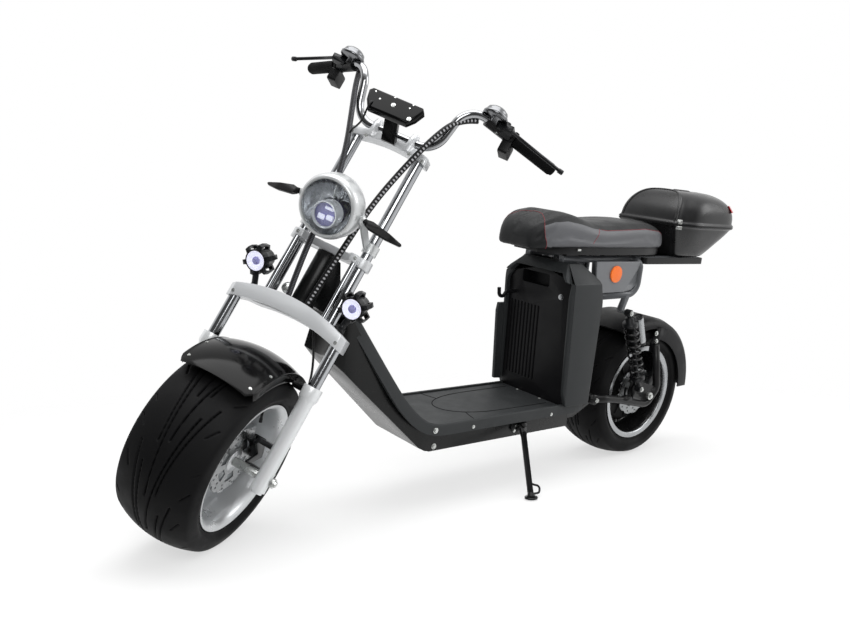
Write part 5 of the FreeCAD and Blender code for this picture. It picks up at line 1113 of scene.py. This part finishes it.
softbox("overhead", (0.2, 0.3, 4.2), (0, 0, 0.4), (4.0, 3.0), 120)
softbox("front_left", (2.6, 3.4, 2.6), (0.2, 0, 0.5), (2.4, 2.0), 70)
softbox("rear_left", (-3.2, 2.4, 2.4), (-0.3, 0, 0.5), (2.0, 2.0), 40)

# The studio: white behind the machine and over it, and a dark room where its front left side looks
world = bpy.data.worlds.new("studio")
bpy.context.scene.world = world
world.use_nodes = True
tree = world.node_tree
tree.nodes.clear()
path = add(tree, "ShaderNodeLightPath").outputs
way = add(tree, "ShaderNodeTexCoord")
ROOM_SIDE = (0.86, 0.50, 0.0)
facing_room = add(tree, "ShaderNodeVectorMath", {0: way, 1: ROOM_SIDE},
    operation="DOT_PRODUCT").outputs["Value"]
shade = add(tree, "ShaderNodeMapRange", {"Value": facing_room, "From Min": 0.05, "From Max": 0.6},
    interpolation_type="SMOOTHSTEP")
rise = add(tree, "ShaderNodeSeparateXYZ", {0: way}).outputs["Z"]
under = add(tree, "ShaderNodeMapRange", {"Value": rise, "From Min": 0.95, "From Max": 0.6},
    interpolation_type="SMOOTHSTEP")
dark = add(tree, "ShaderNodeMath", {0: shade, 1: under}, operation="MULTIPLY")
mirror_light = add(tree, "ShaderNodeMapRange", {"Value": dark, "To Min": 1.0, "To Max": 0.1})
glossy = add(tree, "ShaderNodeMix", {0: path["Is Glossy Ray"], 2: 0.56, 3: mirror_light})
seen = add(tree, "ShaderNodeMath", {0: path["Is Camera Ray"], 1: path["Is Transmission Ray"]},
    operation="MAXIMUM")
level = add(tree, "ShaderNodeMix", {0: seen, 2: glossy, 3: 1.0})
sky = add(tree, "ShaderNodeBackground", {"Color": (1, 1, 1, 1), "Strength": level})
add(tree, "ShaderNodeOutputWorld", {"Surface": sky})

floor_mesh = bpy.data.meshes.new("floor")
floor_mesh.from_pydata([(-6, -6, 0), (6, -6, 0), (6, 6, 0), (-6, 6, 0)], [], [(0, 1, 2, 3)])
floor = bpy.data.objects.new("floor", floor_mesh)
bpy.context.scene.collection.objects.link(floor)
floor_paper, tree, surface = blank("white_paper_floor", "#ffffff", 1.0, shine=0.0)
spot = add(tree, "ShaderNodeTexCoord").outputs["Object"]
reach = add(tree, "ShaderNodeVectorMath", {0: spot}, operation="LENGTH")
fade = add(tree, "ShaderNodeMapRange", {"Value": reach.outputs["Value"], "From Min": 1.3, "From Max": 2.6,
    "To Min": 0.6}, interpolation_type="SMOOTHSTEP")
clear = add(tree, "ShaderNodeBsdfTransparent")
mixed = add(tree, "ShaderNodeMixShader", {0: fade, 1: surface, 2: clear})
tree.links.new(mixed.outputs[0], tree.nodes["Material Output"].inputs["Surface"])
floor_mesh.materials.append(floor_paper)

bpy.context.scene.view_settings.view_transform = "Standard"
